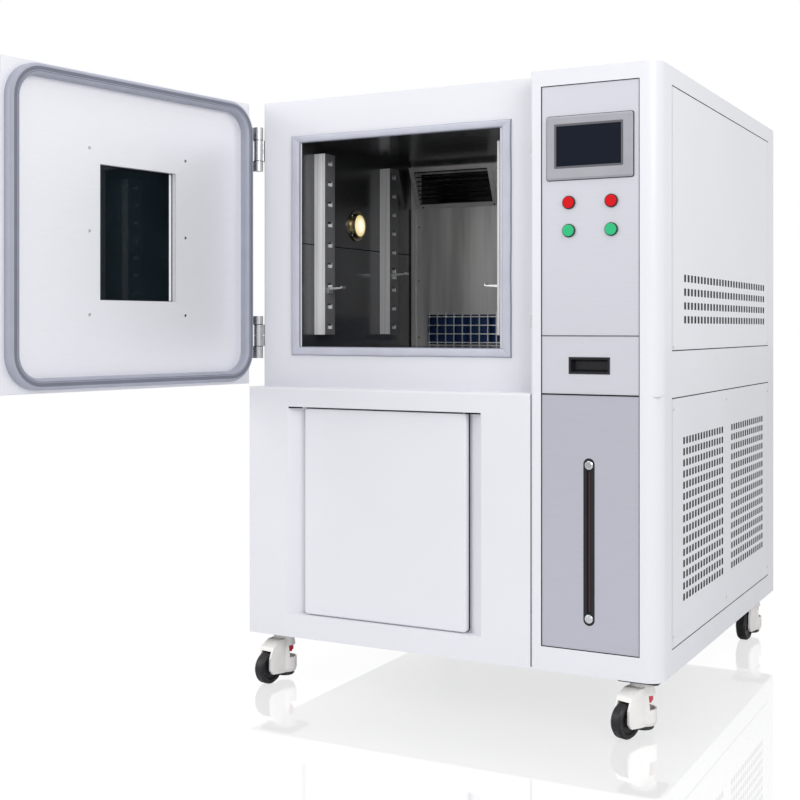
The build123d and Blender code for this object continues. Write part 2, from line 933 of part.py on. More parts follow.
def indicator_cap():
    """The fixed red lens of the fourth head, seated in its ring."""
    x, z = button_places()["indicator"]
    front = button_ring_floor + button_travel + button_cap_thickness
    outline = [
        (0, button_ring_floor),
        (button_cap_radius, button_ring_floor),
        (button_cap_radius, front - 1.2),
        (button_cap_radius - 1.2, front),
        (0, front),
    ]
    return turned(outline, (x, insert_y[0], z), (0, -1, 0))


def button_rings():
    """The four black rings."""
    return Compound(children=[button_ring(x, z) for x, z in button_places().values()])


def pull_hole():
    """The space in the drawer front that the pull's cup fills."""
    return (
        (pull_left + pull_flange, pull_right - pull_flange),
        (insert_y[0], insert_y[0] + pull_depth),
        (pull_bottom + pull_flange, pull_top - pull_flange),
    )


def water_drawer():
    """The filling drawer: a flat front and an open tray behind it."""
    front = block(
        (insert_left + drawer_gap, insert_right - drawer_gap),
        (insert_y[0], insert_y[0] + drawer_front_thickness),
        (drawer_bottom + drawer_gap, drawer_top - drawer_gap),
    )
    tray_front = insert_y[0] + drawer_front_thickness
    x = (insert_left + drawer_tray_inset, insert_right - drawer_tray_inset)
    bottom = drawer_bottom + drawer_gap
    tray = block(x, (tray_front, tray_front + drawer_tray_depth), (bottom, bottom + drawer_tray_height))
    wall = drawer_tray_wall
    tray -= block(
        (x[0] + wall, x[1] - wall),
        (tray_front, tray_front + drawer_tray_depth - wall),
        (bottom + wall, bottom + drawer_tray_height + 1),
    )
    return front + tray - block(*pull_hole())


def drawer_pull():
    """The black cup pull with bevelled inner sides, pinched from below the upper lip."""
    x, y, z = pull_hole()
    cup = block(x, y, z)
    cup += block((pull_left, pull_right), (y[0] - 1, y[0]), (pull_bottom, pull_top))
    middle = ((x[0] + x[1]) / 2, y[0] - 1, (z[0] + z[1]) / 2)
    plane = Plane(origin=middle, x_dir=(1, 0, 0), z_dir=(0, 1, 0))
    width = x[1] - x[0] - 2 * pull_wall
    height = z[1] - z[0] - 2 * pull_wall
    mouth = Rectangle(width, height)
    floor = Rectangle(width - 2 * pull_taper, height - 2 * pull_taper)
    return cup - loft([plane * mouth, plane * Pos(0, 0, pull_depth - pull_wall) * floor])


def gauge_outline(grow):
    """The upright rounded slot of the level gauge, grown by a margin."""
    length = gauge_top - gauge_bottom + 2 * grow
    middle = (gauge_x, insert_y[0], (gauge_top + gauge_bottom) / 2)
    plane = Plane(origin=middle, x_dir=(0, 0, 1), z_dir=(0, 1, 0))
    return plane * SlotOverall(length, gauge_width + 2 * grow)


def lower_plate():
    """The lower insert of the column, with the slot for the level gauge."""
    plate = block(
        (insert_left - insert_lap, insert_right + insert_lap),
        insert_y,
        (insert_bottom - insert_lap, drawer_bottom - 1),
    )
    return plate - extrude(gauge_outline(0), sheet)


def gauge_screw_heights():
    """Heights of the two end screws of the level gauge."""
    return (gauge_bottom + gauge_screw_inset, gauge_top - gauge_screw_inset)


def level_gauge():
    """The black gauge body behind the plate, with its sight groove and two pipes to the tank."""
    body = extrude(gauge_outline(0), gauge_body_depth)
    body += Pos(0, sheet, 0) * extrude(gauge_outline(gauge_lap), gauge_body_depth - sheet)
    low, high = gauge_screw_heights()
    groove_end = gauge_screw_radius + 3
    body -= block(
        (gauge_x - gauge_groove / 2, gauge_x + gauge_groove / 2),
        (0, insert_y[0] + sheet * 2),
        (low + groove_end, high - groove_end),
    )
    start = insert_y[0] + gauge_body_depth
    for height in (low, high):
        body += rod(gauge_pipe_radius, tank_front - start, (gauge_x, start, height), (0, 1, 0))
    return body


def water_tank():
    """The supply tank that the gauge reads, standing on the base tray."""
    tank = block((tank_left, tank_right), (tank_front, tank_back), (shell_bottom, shell_bottom + tank_height))
    return chamfer(tank.edges().filter_by(Axis.Z), 12)


def cross_screw(radius, height, origin, direction):
    """A round screw head with a cross recess."""
    head = turned(
        [(0, 0), (radius, 0), (radius, height * 0.5), (radius * 0.75, height), (0, height)], origin, direction
    )
    plane = Plane(origin=origin, z_dir=direction)
    arm = Box(radius * 1.1, radius * 0.24, height, align=(Align.CENTER, Align.CENTER, Align.MIN))
    lifted = Pos(0, 0, height * 0.5)
    return head - plane * lifted * arm - plane * lifted * Rot(0, 0, 90) * arm


def cabinet_screws():
    """Every screw head that shows on the cabinet: gauge, side panels, lamp, baffle and outlets."""
    heads = []
    for height in gauge_screw_heights():
        heads.append(cross_screw(gauge_screw_radius, 3, (gauge_x, insert_y[0], height), (0, -1, 0)))
    rows = ((lower_panel_top - 26, 3), (lower_panel_bottom + 28, 3), (upper_panel_bottom + 9, 2))
    for height, count in rows:
        step = (panel_back - panel_front - 24) / (count - 1)
        for number in range(count):
            y = panel_front + 12 + number * step
            heads.append(small_screw_head(4, 1.2, (cabinet_width, y, height), (1, 0, 0)))
    for number in range(4):
        angle = math.radians(45 + 90 * number)
        y = lamp_y + 38 * math.cos(angle)
        z = lamp_z + 38 * math.sin(angle)
        heads.append(small_screw_head(3, 1.2, (liner_left + lamp_flange_thickness, y, z), (1, 0, 0)))
    for height in (1197, 1038, 872):
        x = hood_left + 7
        heads.append(small_screw_head(3.5, 1.2, (x, baffle_y, height), (0, -1, 0)))
    for x in (hood_left + 23, hood_middle - 12, hood_middle + 12, hood_right - 23):
        plane = hood_plane(x)
        heads.append(plane * Pos(0, 5, 0) * loft([RegularPolygon(3.5, 8), Pos(0, 0, 1.2) * RegularPolygon(2.5, 8)]))
    return Compound(children=heads)


def condensing_unit():
    """Base plate, compressor dome and finned condenser of the refrigeration plant."""
    plate = block((80, 560), (330, 1080), (shell_bottom, shell_bottom + 6))
    top = shell_bottom + 6
    dome = turned(
        [(0, 0), (95, 0), (95, 190), (70, 240), (0, 256)],
        (230, 520, top),
        (0, 0, 1),
    )
    condenser = block((330, 545), (760, 1060), (top, top + 330))
    return Compound(children=[plate, dome, condenser])


def latch_space(x, height, margin):
    """The space that a latch bolt passes through, grown by a margin."""
    return block(
        x,
        (latch_y - latch_width / 2 - margin, latch_y + latch_width / 2 + margin),
        (height - latch_height / 2 - margin, height + latch_height / 2 + margin),
    )


def strike_plates():
    """Two strikes for the latch bolts and the pad of the door switch, on the column's left wall."""
    x = (column_left - strike_proud, column_left)
    y = (strike_front_y, strike_back_y)
    pieces = []
    for span, height in zip(strike_spans, latch_heights):
        strike = block(x, y, span)
        pieces.append(strike - latch_space((x[0] - 1, x[1] + 1), height, strike_slot_margin))
    pieces.append(block(x, (latch_y - 7, latch_y + 7), switch_span))
    return Compound(children=pieces)


def cabinet_hinges():
    """The cabinet's half of each hinge: leaf on the left side, middle barrel and pin."""
    halves = []
    for low, first, second, high in (upper_hinge, lower_hinge):
        z = (first + hinge_joint_gap, second - hinge_joint_gap)
        half = rod(hinge_radius, z[1] - z[0], (hinge_x, hinge_y, z[0]), (0, 0, 1))
        groove = turned(
            [(hinge_radius - hinge_groove, -1), (hinge_radius + 1, -1), (hinge_radius + 1, 1), (hinge_radius - hinge_groove, 1)],
            (hinge_x, hinge_y, (z[0] + z[1]) / 2),
            (0, 0, 1),
        )
        half -= groove
        arm = [(-20, 66), (-leaf_thickness, 92), (0, 92), (0, 67), (-6, 62)]
        half += prism(arm, (z[0], (z[0] + z[1]) / 2 - 1))
        half += prism(arm, ((z[0] + z[1]) / 2 + 1, z[1]))
        half += block((-leaf_thickness, 0), (front_return_y - 32, front_return_y + 12), (low, high))
        half += rod(hinge_pin_radius, high - low, (hinge_x, hinge_y, low), (0, 0, 1))
        halves.append(half)
    return Compound(children=halves)


def door_hinges():
    """The door's half of each hinge: leaf on the door's edge and the two outer barrels."""
    halves = []
    for low, first, second, high in (upper_hinge, lower_hinge):
        leaf_z = (low - leaf_overhang, high + leaf_overhang)
        leaf = [
            (6, leaf_z[0] + 14),
            (24, leaf_z[0]),
            (door_pan_depth, leaf_z[0]),
            (door_pan_depth, leaf_z[1]),
            (24, leaf_z[1]),
            (6, leaf_z[1] - 14),
        ]
        half = side_prism(leaf, (door_left - leaf_thickness, door_left))
        for z in ((low, first), (second, high)):
            half += rod(hinge_radius, z[1] - z[0], (hinge_x, hinge_y, z[0]), (0, 0, 1))
            arm = [
                (door_left - leaf_thickness, 34),
                (door_left, 34),
                (door_left, 50),
                (-4, 58),
                (-20, 58),
                (-18, 50),
            ]
            half += prism(arm, z)
        half -= rod(
            hinge_pin_radius + hinge_pin_clearance,
            high - low + 2,
            (hinge_x, hinge_y, low - 1),
            (0, 0, 1),
        )
        halves.append(half)
    return Compound(children=halves)


def window_space(y, grow):
    """The window opening through the door, grown by a margin."""
    return block(
        (window_left - grow, window_right + grow),
        y,
        (window_bottom - grow, window_top + grow),
    )


def door_pan():
    """The foam filled outer pan with the window opening, latch pockets and handle bore."""
    pan = block((door_left, door_right), (0, door_pan_depth), (door_bottom, door_top))
    pan = fillet(pan.faces().sort_by(Axis.Y)[0].edges(), door_edge_radius)
    pan -= window_space((-1, door_inner_y), liner_sheet)
    for height in latch_heights:
        pan -= latch_space((door_right - latch_pocket_length, door_right + 1), height, latch_clearance)
    bore = handle_shaft_radius + handle_shaft_clearance
    return pan - rod(bore, handle_shaft_length + 1, (handle_x, -1, handle_z), (0, 1, 0))


def door_inner_panel():
    """The stainless inner sheet with the lip that lines the window opening."""
    panel = block(
        (door_left + door_margin, door_right - door_margin),
        (door_pan_depth, door_inner_y),
        (door_bottom + door_margin, door_top - door_margin),
    )
    panel += window_space((window_lip_y, door_pan_depth), liner_sheet)
    return panel - window_space((0, door_inner_y + 1), 0)


def window_panes():
    """The inner and outer panes of the door window."""
    inner = window_space((window_lip_y - pane_thickness, window_lip_y), liner_sheet)
    outer = window_space((outer_pane_y, outer_pane_y + pane_thickness), liner_sheet)
    return Compound(children=[inner, outer])


def door_gasket():
    """The soft bulb seal that follows the door's edge with wide rounded corners."""
    left, right, bottom, top = door_gasket_outer
    middle = ((left + right) / 2, door_inner_y, (bottom + top) / 2)
    plane = Plane(origin=middle, x_dir=(1, 0, 0), z_dir=(0, -1, 0))
    width = right - left
    height = top - bottom
    inner_corner = door_gasket_corner - door_gasket_width
    outline = RectangleRounded(width, height, door_gasket_corner)
    outline -= RectangleRounded(width - 2 * door_gasket_width, height - 2 * door_gasket_width, inner_corner)
    ring = extrude(plane * outline, -door_gasket_thickness)
    return fillet(ring.faces().sort_by(Axis.Y)[-1].edges(), door_gasket_round)


def door_screws():
    """The screw heads on the door's inner sheet."""
    heads = []
    for x in door_screw_columns:
        for z in door_screw_rows:
            heads.append(small_screw_head(4.5, 1.6, (x, door_inner_y, z), (0, 1, 0)))
    return Compound(children=heads)


def door_handle():
    """The outer lever handle, hanging down at rest, with the shaft that works the latch."""
    hub = turned(
        [
            (0, -handle_shaft_length + 1),
            (handle_shaft_radius, -handle_shaft_length + 1),
            (handle_shaft_radius, runner_clearance),
            (handle_hub_radius, runner_clearance),
            (handle_hub_radius, 10),
            (handle_neck_radius, 16),
            (handle_neck_radius, handle_reach),
            (0, handle_reach),
        ],
        (handle_x, 0, handle_z),
        (0, -1, 0),
    )
    lever_middle = (handle_x, -handle_reach, handle_z - handle_length / 2 + handle_lever_width / 2)
    plane = Plane(origin=lever_middle, x_dir=(0, 0, 1), z_dir=(0, 1, 0))
    lever = extrude(plane * SlotOverall(handle_length, handle_lever_width), handle_lever_thickness)
    lever = fillet(lever.faces().sort_by(Axis.Y)[0].edges(), 4)
    return hub + lever


def latch_bolts():
    """The two square bolts in the door's free edge, drawn in at rest."""
    end = door_right - latch_recess
    return Compound(children=[latch_space((end - latch_length, end), height, 0) for height in latch_heights])


def castor_place(name):
    """The location of a castor's swivel axis on the floor, turned to its heading."""
    x, y, heading = castor_places[name]
    return Pos(x, y, 0) * Rot(0, 0, heading)


def castor_plates():
    """The four top plates, each with the collar that the housing turns about."""
    pieces = []
    half = castor_plate_size / 2
    top = ground_clearance
    bottom = ground_clearance - castor_plate_thickness
    for x, y, heading in castor_places.values():
        plate = block((x - half, x + half), (y - half, y + half), (bottom, top))
        plate = fillet(plate.edges().filter_by(Axis.Z), 8)
        collar = rod(castor_collar_radius, castor_collar_height, (x, y, bottom), (0, 0, -1))
        pieces.append(plate + collar)
    return Compound(children=pieces)


def castor_housing():
    """The cast housing: swivel head, wheel cheeks with the axle, and the boss around the levelling foot."""
    trail = -castor_trail
    outline = [
        (4, castor_head_bottom + 4),
        (trail + 22, castor_head_bottom + 2),
        (trail - 4, 92),
        (trail - 15, 66),
        (trail - 15, 36),
        (trail - 6, 25),
        (trail + 24, 22),
        (4, castor_skirt_bottom),
    ]
    face = Plane.YZ * make_face(FilletPolyline(*outline, radius=3, close=True))
    body = extrude(face, castor_body_width / 2, both=True)
    head_top = ground_clearance - castor_plate_thickness - castor_running_gap
    body += turned(
        [
            (0, castor_skirt_bottom),
            (castor_boss_radius - 3, castor_skirt_bottom),
            (castor_boss_radius, castor_skirt_bottom + 8),
            (castor_boss_radius, castor_window_bottom),
            (castor_boss_radius - 3, castor_window_top),
            (castor_boss_radius - 6, castor_head_bottom),
            (castor_head_radius, castor_head_bottom + 4),
            (castor_head_radius, head_top),
            (0, head_top),
        ],
        (0, 0, 0),
        (0, 0, 1),
    )
    half_well = castor_well_width / 2
    body -= rod(castor_well_radius, castor_well_width, (-half_well, trail, castor_wheel_radius), (1, 0, 0))
    pad_room = foot_pad_radius + foot_pad_clearance
    body -= rod(pad_room, castor_window_bottom - castor_skirt_bottom + 1, (0, 0, castor_skirt_bottom - 1), (0, 0, 1))
    wheel_room = foot_wheel_radius + foot_pad_clearance
    window_height = castor_window_top - castor_window_bottom + 1
    body -= rod(wheel_room, window_height, (0, 0, castor_window_bottom - 1), (0, 0, 1))
    body -= block((-castor_body_width, castor_body_width), (-12, 45), (castor_window_bottom, castor_window_top))
    stem_room = foot_stem_radius + foot_stem_clearance
    body -= rod(stem_room, ground_clearance, (0, 0, castor_window_top - 1), (0, 0, 1))
    collar_room = castor_collar_radius + castor_running_gap
    collar_depth = castor_collar_height + castor_running_gap
    body -= rod(collar_room, collar_depth + 1, (0, 0, head_top - collar_depth), (0, 0, 1))
    half_body = castor_body_width / 2
    axle = rod(castor_axle_radius, castor_body_width, (-half_body, trail, castor_wheel_radius), (1, 0, 0))
    return body + axle


def castor_wheel():
    """The wheel, with a rounded tread and dished sides."""
    half = castor_wheel_width / 2
    bore = castor_axle_radius + castor_axle_clearance
    radius = castor_wheel_radius
    outline = [
        (bore, -half),
        (12, -half),
        (14, -half + 4),
        (radius - 14, -half + 4),
        (radius - 10, -half),
        (radius - 4, -half),
        (radius, -half + 5),
        (radius, half - 5),
        (radius - 4, half),
        (radius - 10, half),
        (radius - 14, half - 4),
        (14, half - 4),
        (12, half),
        (bore, half),
    ]
    return turned(outline, (0, -castor_trail, radius), (1, 0, 0))


def castor_foot():
    """The levelling foot: pad, screw stem, nut and the thumb wheel seen in the housing's window."""
    pad_top = foot_rest_gap + foot_pad_height
    outline = [
        (0, foot_rest_gap),
        (foot_pad_radius - 3, foot_rest_gap),
        (foot_pad_radius, foot_rest_gap + 3),
        (foot_pad_radius, pad_top - 2),
        (foot_pad_radius - 4, pad_top),
        (foot_stem_radius, pad_top + 3),
        (foot_stem_radius, foot_nut_bottom),
        (foot_nut_radius, foot_nut_bottom),
        (foot_nut_radius, foot_wheel_bottom),
        (foot_wheel_radius, foot_wheel_bottom),
        (foot_wheel_radius, foot_wheel_top),
        (foot_stem_radius, foot_wheel_top),
        (foot_stem_radius, foot_stem_top),
        (0, foot_stem_top),
    ]
    return turned(outline, (0, 0, 0), (0, 0, 1))


def swung_open(shape):
    """A door piece turned from the closed door to the open door."""
    hinge = Pos(hinge_x, hinge_y, 0)
    return hinge * Rot(0, 0, -door_open_angle) * hinge.inverse() * shape


def all_nodes():
    """Every named piece in cabinet coordinates, with the door open."""
    nodes = {
        "base_tray": base_tray(),
        "base_front": base_front(),
        "column_shell": column_shell(),
        "right_upper_panel": upper_vent_panel(),
        "right_lower_panel": lower_vent_panel(),
        "left_roof_sheet": left_roof_sheet(),
        "rear_panel": rear_panel(),
        "chamber_front": chamber_front(),
        "insulation": insulation(),
        "chamber_liner": chamber_liner(),
        "mouth_gasket": mouth_gasket(),
        "rack_uprights": rack_uprights(),
        "shelf_pegs": shelf_pegs(),
        "air_baffle": air_baffle(),
        "outlet_hoods": outlet_hoods(),
        "return_grid": return_grid(),
        "cooling_coil": cooling_coil(),
        "fan_motor": fan_motor(),
        "fan_impeller": fan_impeller(),
        "lamp_housing": lamp_housing(),
        "lamp_glass": lamp_glass(),
        "control_plate": control_plate(),
        "hmi_bezel": hmi_bezel(),
        "hmi_screen": hmi_screen(),
        "button_rings": button_rings(),
        "indicator_cap": indicator_cap(),
        "stop_button": button_cap("stop"),
        "start_button": button_cap("start"),
        "light_button": button_cap("light"),
        "water_drawer": water_drawer(),
        "drawer_pull": drawer_pull(),
        "lower_plate": lower_plate(),
        "level_gauge": level_gauge(),
        "water_tank": water_tank(),
        "cabinet_screws": cabinet_screws(),
        "condensing_unit": condensing_unit(),
        "strike_plates": strike_plates(),
        "cabinet_hinges": cabinet_hinges(),
        "machine_cover": machine_cover(),
        "castor_plates": castor_plates(),
    }
    door = {
        "door_hinges": door_hinges(),
        "door_pan": door_pan(),
        "door_inner_panel": door_inner_panel(),
        "window_panes": window_panes(),
        "door_gasket": door_gasket(),
        "door_screws": door_screws(),
        "door_handle": door_handle(),
        "latch_bolts": latch_bolts(),
    }
    for name, shape in door.items():
        nodes[name] = swung_open(shape)
    housing = castor_housing()
    wheel = castor_wheel()
    foot = castor_foot()
    for name in castor_places:
        nodes["castor_housing_" + name] = castor_place(name) * housing
        nodes["castor_wheel_" + name] = castor_place(name) * wheel
        nodes["castor_foot_" + name] = castor_place(name) * foot
    return nodes


def footprint_middle(nodes):
    """The middle of the whole object in plan."""
    boxes = [shape.bounding_box() for shape in nodes.values()]
    left = min(box.min.X for box in boxes)
    right = max(box.max.X for box in boxes)
    front = min(box.min.Y for box in boxes)
    back = max(box.max.Y for box in boxes)
    return (left + right) / 2, (front + back) / 2


pieces = all_nodes()
middle_x, middle_y = footprint_middle(pieces)
print("footprint middle", middle_x, middle_y)
for piece_name, piece in pieces.items():
    placed = Pos(-middle_x, -middle_y, 0) * piece
    export_step(placed, "parts/" + piece_name + ".step")
print(len(pieces), "nodes")
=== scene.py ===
import math

import bpy
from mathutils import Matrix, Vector


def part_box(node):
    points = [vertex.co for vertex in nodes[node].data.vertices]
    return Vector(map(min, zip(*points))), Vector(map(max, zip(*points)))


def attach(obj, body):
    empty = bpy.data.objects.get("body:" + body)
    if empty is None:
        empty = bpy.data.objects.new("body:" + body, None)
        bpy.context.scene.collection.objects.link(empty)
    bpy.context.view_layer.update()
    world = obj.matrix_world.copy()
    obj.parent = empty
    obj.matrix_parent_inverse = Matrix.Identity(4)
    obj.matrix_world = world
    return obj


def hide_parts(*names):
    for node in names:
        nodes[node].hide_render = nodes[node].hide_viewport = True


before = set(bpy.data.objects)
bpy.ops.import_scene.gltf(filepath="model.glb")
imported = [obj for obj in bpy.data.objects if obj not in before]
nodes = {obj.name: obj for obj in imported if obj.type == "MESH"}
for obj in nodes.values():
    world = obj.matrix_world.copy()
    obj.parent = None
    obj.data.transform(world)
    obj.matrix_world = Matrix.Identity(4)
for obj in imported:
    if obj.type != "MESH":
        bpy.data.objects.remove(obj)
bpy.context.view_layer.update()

# Places below are cabinet millimetres, from the lower front left corner of the base tray.
# Heights are from the floor.
MM = 0.001
ACROSS, UP = 0, 2
tray_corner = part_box("base_tray")[0]
origin = Vector((tray_corner.x, tray_corner.y, 0.0))


def at(x, y, z):
    """A point in cabinet millimetres as a point of the frame in metres."""
    return origin + Vector((x, y, z)) * MM


def spans(node):
    """The x, y and z spans of a CAD node in cabinet millimetres."""
    low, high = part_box(node)
    return [((low[axis] - origin[axis]) / MM, (high[axis] - origin[axis]) / MM) for axis in range(3)]


def grown(span, margin):
    """A span with a margin more at both ends, or less where the margin is negative."""
    return span[0] - margin, span[1] + margin


def middle_of(span):
    return (span[0] + span[1]) / 2


# Door: its pieces are placed on the closed door and turned about the hinge axis with it
hinge_axis = (-12.3, 62.0)
door_angle = math.radians(-99.0)


def as_is(x, y, z):
    """The place of a piece that isn't on the door."""
    return x, y, z


def on_door(x, y, z):
    """A point of the closed door, turned to the open door."""
    dx, dy = x - hinge_axis[0], y - hinge_axis[1]
    turned_x = dx * math.cos(door_angle) - dy * math.sin(door_angle)
    turned_y = dx * math.sin(door_angle) + dy * math.cos(door_angle)
    return hinge_axis[0] + turned_x, hinge_axis[1] + turned_y, z


# Materials

# Places of the colour sockets on Blender's mix node
MIX_FACTOR, MIX_FIRST, MIX_SECOND, MIX_RESULT = 0, 6, 7, 2


class Surface:
    """A material that is built up from one principled shader."""

    def __init__(self, name, color, rough, metal=0.0, **more):
        self.material = bpy.data.materials.new(name)
        self.material.use_nodes = True
        self.tree = self.material.node_tree
        self.shader = self.tree.nodes["Principled BSDF"]
        self.color = color
        self.rough = rough
        self.color_socket = None
        self.value("Base Color", (*color, 1))
        self.value("Roughness", rough)
        self.value("Metallic", metal)
        for key, value in more.items():
            self.value(key.replace("_", " "), value)

    def value(self, name, value):
        self.shader.inputs[name].default_value = value

    def node(self, kind, **settings):
        made = self.tree.nodes.new(kind)
        for key, value in settings.items():
            setattr(made, key, value)
        return made

    def link(self, start, end):
        self.tree.links.new(start, end)

    def place(self, output="Object"):
        return self.node("ShaderNodeTexCoord").outputs[output]

    def noise(self, scale, stretch=(1, 1, 1), detail=2.0):
        """Noise in metres of the frame, finer along an axis that is stretched more."""
        mapping = self.node("ShaderNodeMapping")
        mapping.inputs["Scale"].default_value = stretch
        self.link(self.place(), mapping.inputs["Vector"])
        texture = self.node("ShaderNodeTexNoise")
        texture.inputs["Scale"].default_value = scale
        texture.inputs["Detail"].default_value = detail
        self.link(mapping.outputs["Vector"], texture.inputs["Vector"])
        return texture.outputs["Fac"]

    def ramp(self, factor, low, high, start=0.3, stop=0.7):
        """One colour up to the start, another from the stop."""
        ramp = self.node("ShaderNodeValToRGB")
        ramp.color_ramp.elements[0].position = start
        ramp.color_ramp.elements[0].color = (*low, 1)
        ramp.color_ramp.elements[1].position = stop
        ramp.color_ramp.elements[1].color = (*high, 1)
        self.link(factor, ramp.inputs["Fac"])
        return ramp.outputs["Color"]

    def set_color(self, socket):
        self.color_socket = socket
        self.link(socket, self.shader.inputs["Base Color"])

    def tint(self, factor, amount):
        """The colour varies about its base by a share."""
        low = [part * (1 - amount) for part in self.color]
        high = [min(1.0, part * (1 + amount)) for part in self.color]
        self.set_color(self.ramp(factor, low, high))

    def patch(self, mask, color):
        """Another colour where the mask is one."""
        mix = self.node("ShaderNodeMix", data_type="RGBA")
        self.link(mask, mix.inputs[MIX_FACTOR])
        self.link(self.color_socket, mix.inputs[MIX_FIRST])
        mix.inputs[MIX_SECOND].default_value = (*color, 1)
        self.set_color(mix.outputs[MIX_RESULT])

    def uneven(self, factor, amount):
        """The roughness varies about its base."""
        low = [self.rough - amount] * 3
        high = [self.rough + amount] * 3
        self.link(self.ramp(factor, low, high), self.shader.inputs["Roughness"])

    def bump(self, factor, strength, depth=0.0003):
        bump = self.node("ShaderNodeBump")
        bump.inputs["Strength"].default_value = strength
        bump.inputs["Distance"].default_value = depth
        self.link(factor, bump.inputs["Height"])
        self.link(bump.outputs["Normal"], self.shader.inputs["Normal"])

    def part_of(self, vector, axis):
        split = self.node("ShaderNodeSeparateXYZ")
        self.link(vector, split.inputs[0])
        return split.outputs[axis]

    def worked_out(self, operation, first, second):
        """The result of an operation on two values, each a number or a socket."""
        made = self.node("ShaderNodeMath", operation=operation)
        for number, value in enumerate((first, second)):
            if isinstance(value, float):
                made.inputs[number].default_value = value
            else:
                self.link(value, made.inputs[number])
        return made.outputs[0]

    def inside(self, axis, low, high):
        """One between two planes of the frame, in metres."""
        place = self.part_of(self.place(), axis)
        above = self.worked_out("GREATER_THAN", place, low)
        below = self.worked_out("LESS_THAN", place, high)
        return self.worked_out("MULTIPLY", above, below)


def powder_coat():
    """White powder coat with a fine grain."""
    made = Surface("powder_coat", (0.775, 0.782, 0.825), 0.36, Coat_Weight=0.1)
    made.tint(made.noise(3.0), 0.012)
    made.bump(made.noise(900.0, detail=3.0), 0.10, 0.0004)
    made.uneven(made.noise(6.0), 0.03)
    return made.material


def brushed(name, color, rough, stretch, metal=1.0, streak=0.05, grain=0.06):
    """Sheet metal with its grain along one direction."""
    made = Surface(name, color, rough, metal)
    lines = made.noise(60.0, stretch, detail=4.0)
    made.tint(lines, streak)
    made.bump(lines, grain)
    made.uneven(made.noise(90.0, stretch), 0.04)
    return made.material


def plastic(name, color, rough, grain=0.12, **more):
    """Moulded plastic, rubber or paint with a faint texture."""
    made = Surface(name, color, rough, **more)
    made.tint(made.noise(20.0), 0.04)
    made.bump(made.noise(500.0), grain)
    return made.material


def baffle_steel():
    """The rear sheet, with long upright streaks."""
    made = Surface("baffle_steel", (0.74, 0.735, 0.74), 0.34, 0.3)
    made.tint(made.noise(9.0, (1.6, 1.6, 0.12), detail=3.0), 0.5)
    made.bump(made.noise(60.0, (12, 12, 0.4), detail=4.0), 0.06)
    return made.material


def upright_steel(slotted_face_shade=(0.17, 0.172, 0.18), turned=0.7):
    """The rack uprights, bright in front, with a painted shade on the slotted face, which is turned to the
    middle.
    """
    made = Surface("upright_steel", (0.93, 0.92, 0.92), 0.36, 0.2)
    made.tint(made.noise(14.0, (12, 12, 0.15)), 0.22)
    across = made.worked_out("ABSOLUTE", made.part_of(made.place("Normal"), ACROSS), 0.0)
    # Painted shade: faces turned across the cabinet, the slotted faces, take the dark colour.
    made.patch(made.worked_out("GREATER_THAN", across, turned), slotted_face_shade)
    made.bump(made.noise(60.0, (12, 12, 0.4)), 0.05)
    return made.material


def hood_steel(side=15.0, lower=13.0, upper=12.0, louvre_shade=(0.012, 0.012, 0.013)):
    """The outlet hoods: a satin frame of the given widths, with a painted shade over the louvres inside it.
    """
    made = Surface("hood_steel", (0.66, 0.65, 0.65), 0.3, 0.4)
    made.tint(made.noise(40.0, (0.6, 8, 8)), 0.10)
    x, _, z = spans("outlet_hoods")
    middle = middle_of(x)
    # Painted shade: the louvre openings inside the frame take the dark colour.
    height = made.inside(UP, (z[0] + lower) * MM, (z[1] - upper) * MM)
    for left, right in ((x[0], middle), (middle, x[1])):
        width = made.inside(ACROSS, origin.x + (left + side) * MM, origin.x + (right - side) * MM)
        made.patch(made.worked_out("MULTIPLY", width, height), louvre_shade)
    return made.material


def lamp_glow(centre=(1.0, 0.97, 0.80), rim=(0.62, 0.47, 0.12), centre_share=0.35):
    """The lit lamp glass, warm and brightest in its middle."""
    made = Surface("lamp_glow", (0.9, 0.8, 0.5), 0.12, Emission_Strength=0.85)
    low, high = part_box("lamp_glass")
    distance = made.node("ShaderNodeVectorMath", operation="DISTANCE")
    made.link(made.place(), distance.inputs[0])
    distance.inputs[1].default_value = (high.x, (low.y + high.y) / 2, (low.z + high.z) / 2)
    share = made.worked_out("DIVIDE", distance.outputs["Value"], (high.z - low.z) / 2)
    glow = made.ramp(share, centre, rim, centre_share, 1.0)
    made.link(glow, made.shader.inputs["Emission Color"])
    made.bump(made.noise(120.0), 0.2, 0.001)
    return made.material


def foot_paint(pad_top=25.5, stem_top=68.0, under_floor=-1.0):
    """The levelling foot: black pad, bright stem and red thumb wheel."""
    made = Surface("foot_paint", (0.58, 0.012, 0.02), 0.28, Coat_Weight=0.3)
    made.tint(made.noise(60.0), 0.1)
    made.patch(made.inside(UP, under_floor, stem_top * MM), (0.35, 0.35, 0.36))
    made.patch(made.inside(UP, under_floor, pad_top * MM), (0.012, 0.012, 0.014))
    return made.material


def painted_dark_window_glass():
    """The window pane, opaque and dark as a painted reflection of the dark chamber, with the slightest
    unevenness.
    """
    made = Surface("painted_dark_window_glass", (0.006, 0.010, 0.013), 0.03, Specular_IOR_Level=0.35)
    made.tint(made.noise(5.0), 0.3)
    return made.material


def screen_glass():
    """The switched off screen."""
    made = Surface("screen_glass", (0.006, 0.009, 0.018), 0.14, Specular_IOR_Level=0.1)
    made.uneven(made.noise(12.0), 0.03)
    return made.material


# Directions of the grain: how much finer it is along each axis
level_grain = (0.3, 12, 12)
even_grain = (3, 3, 3)

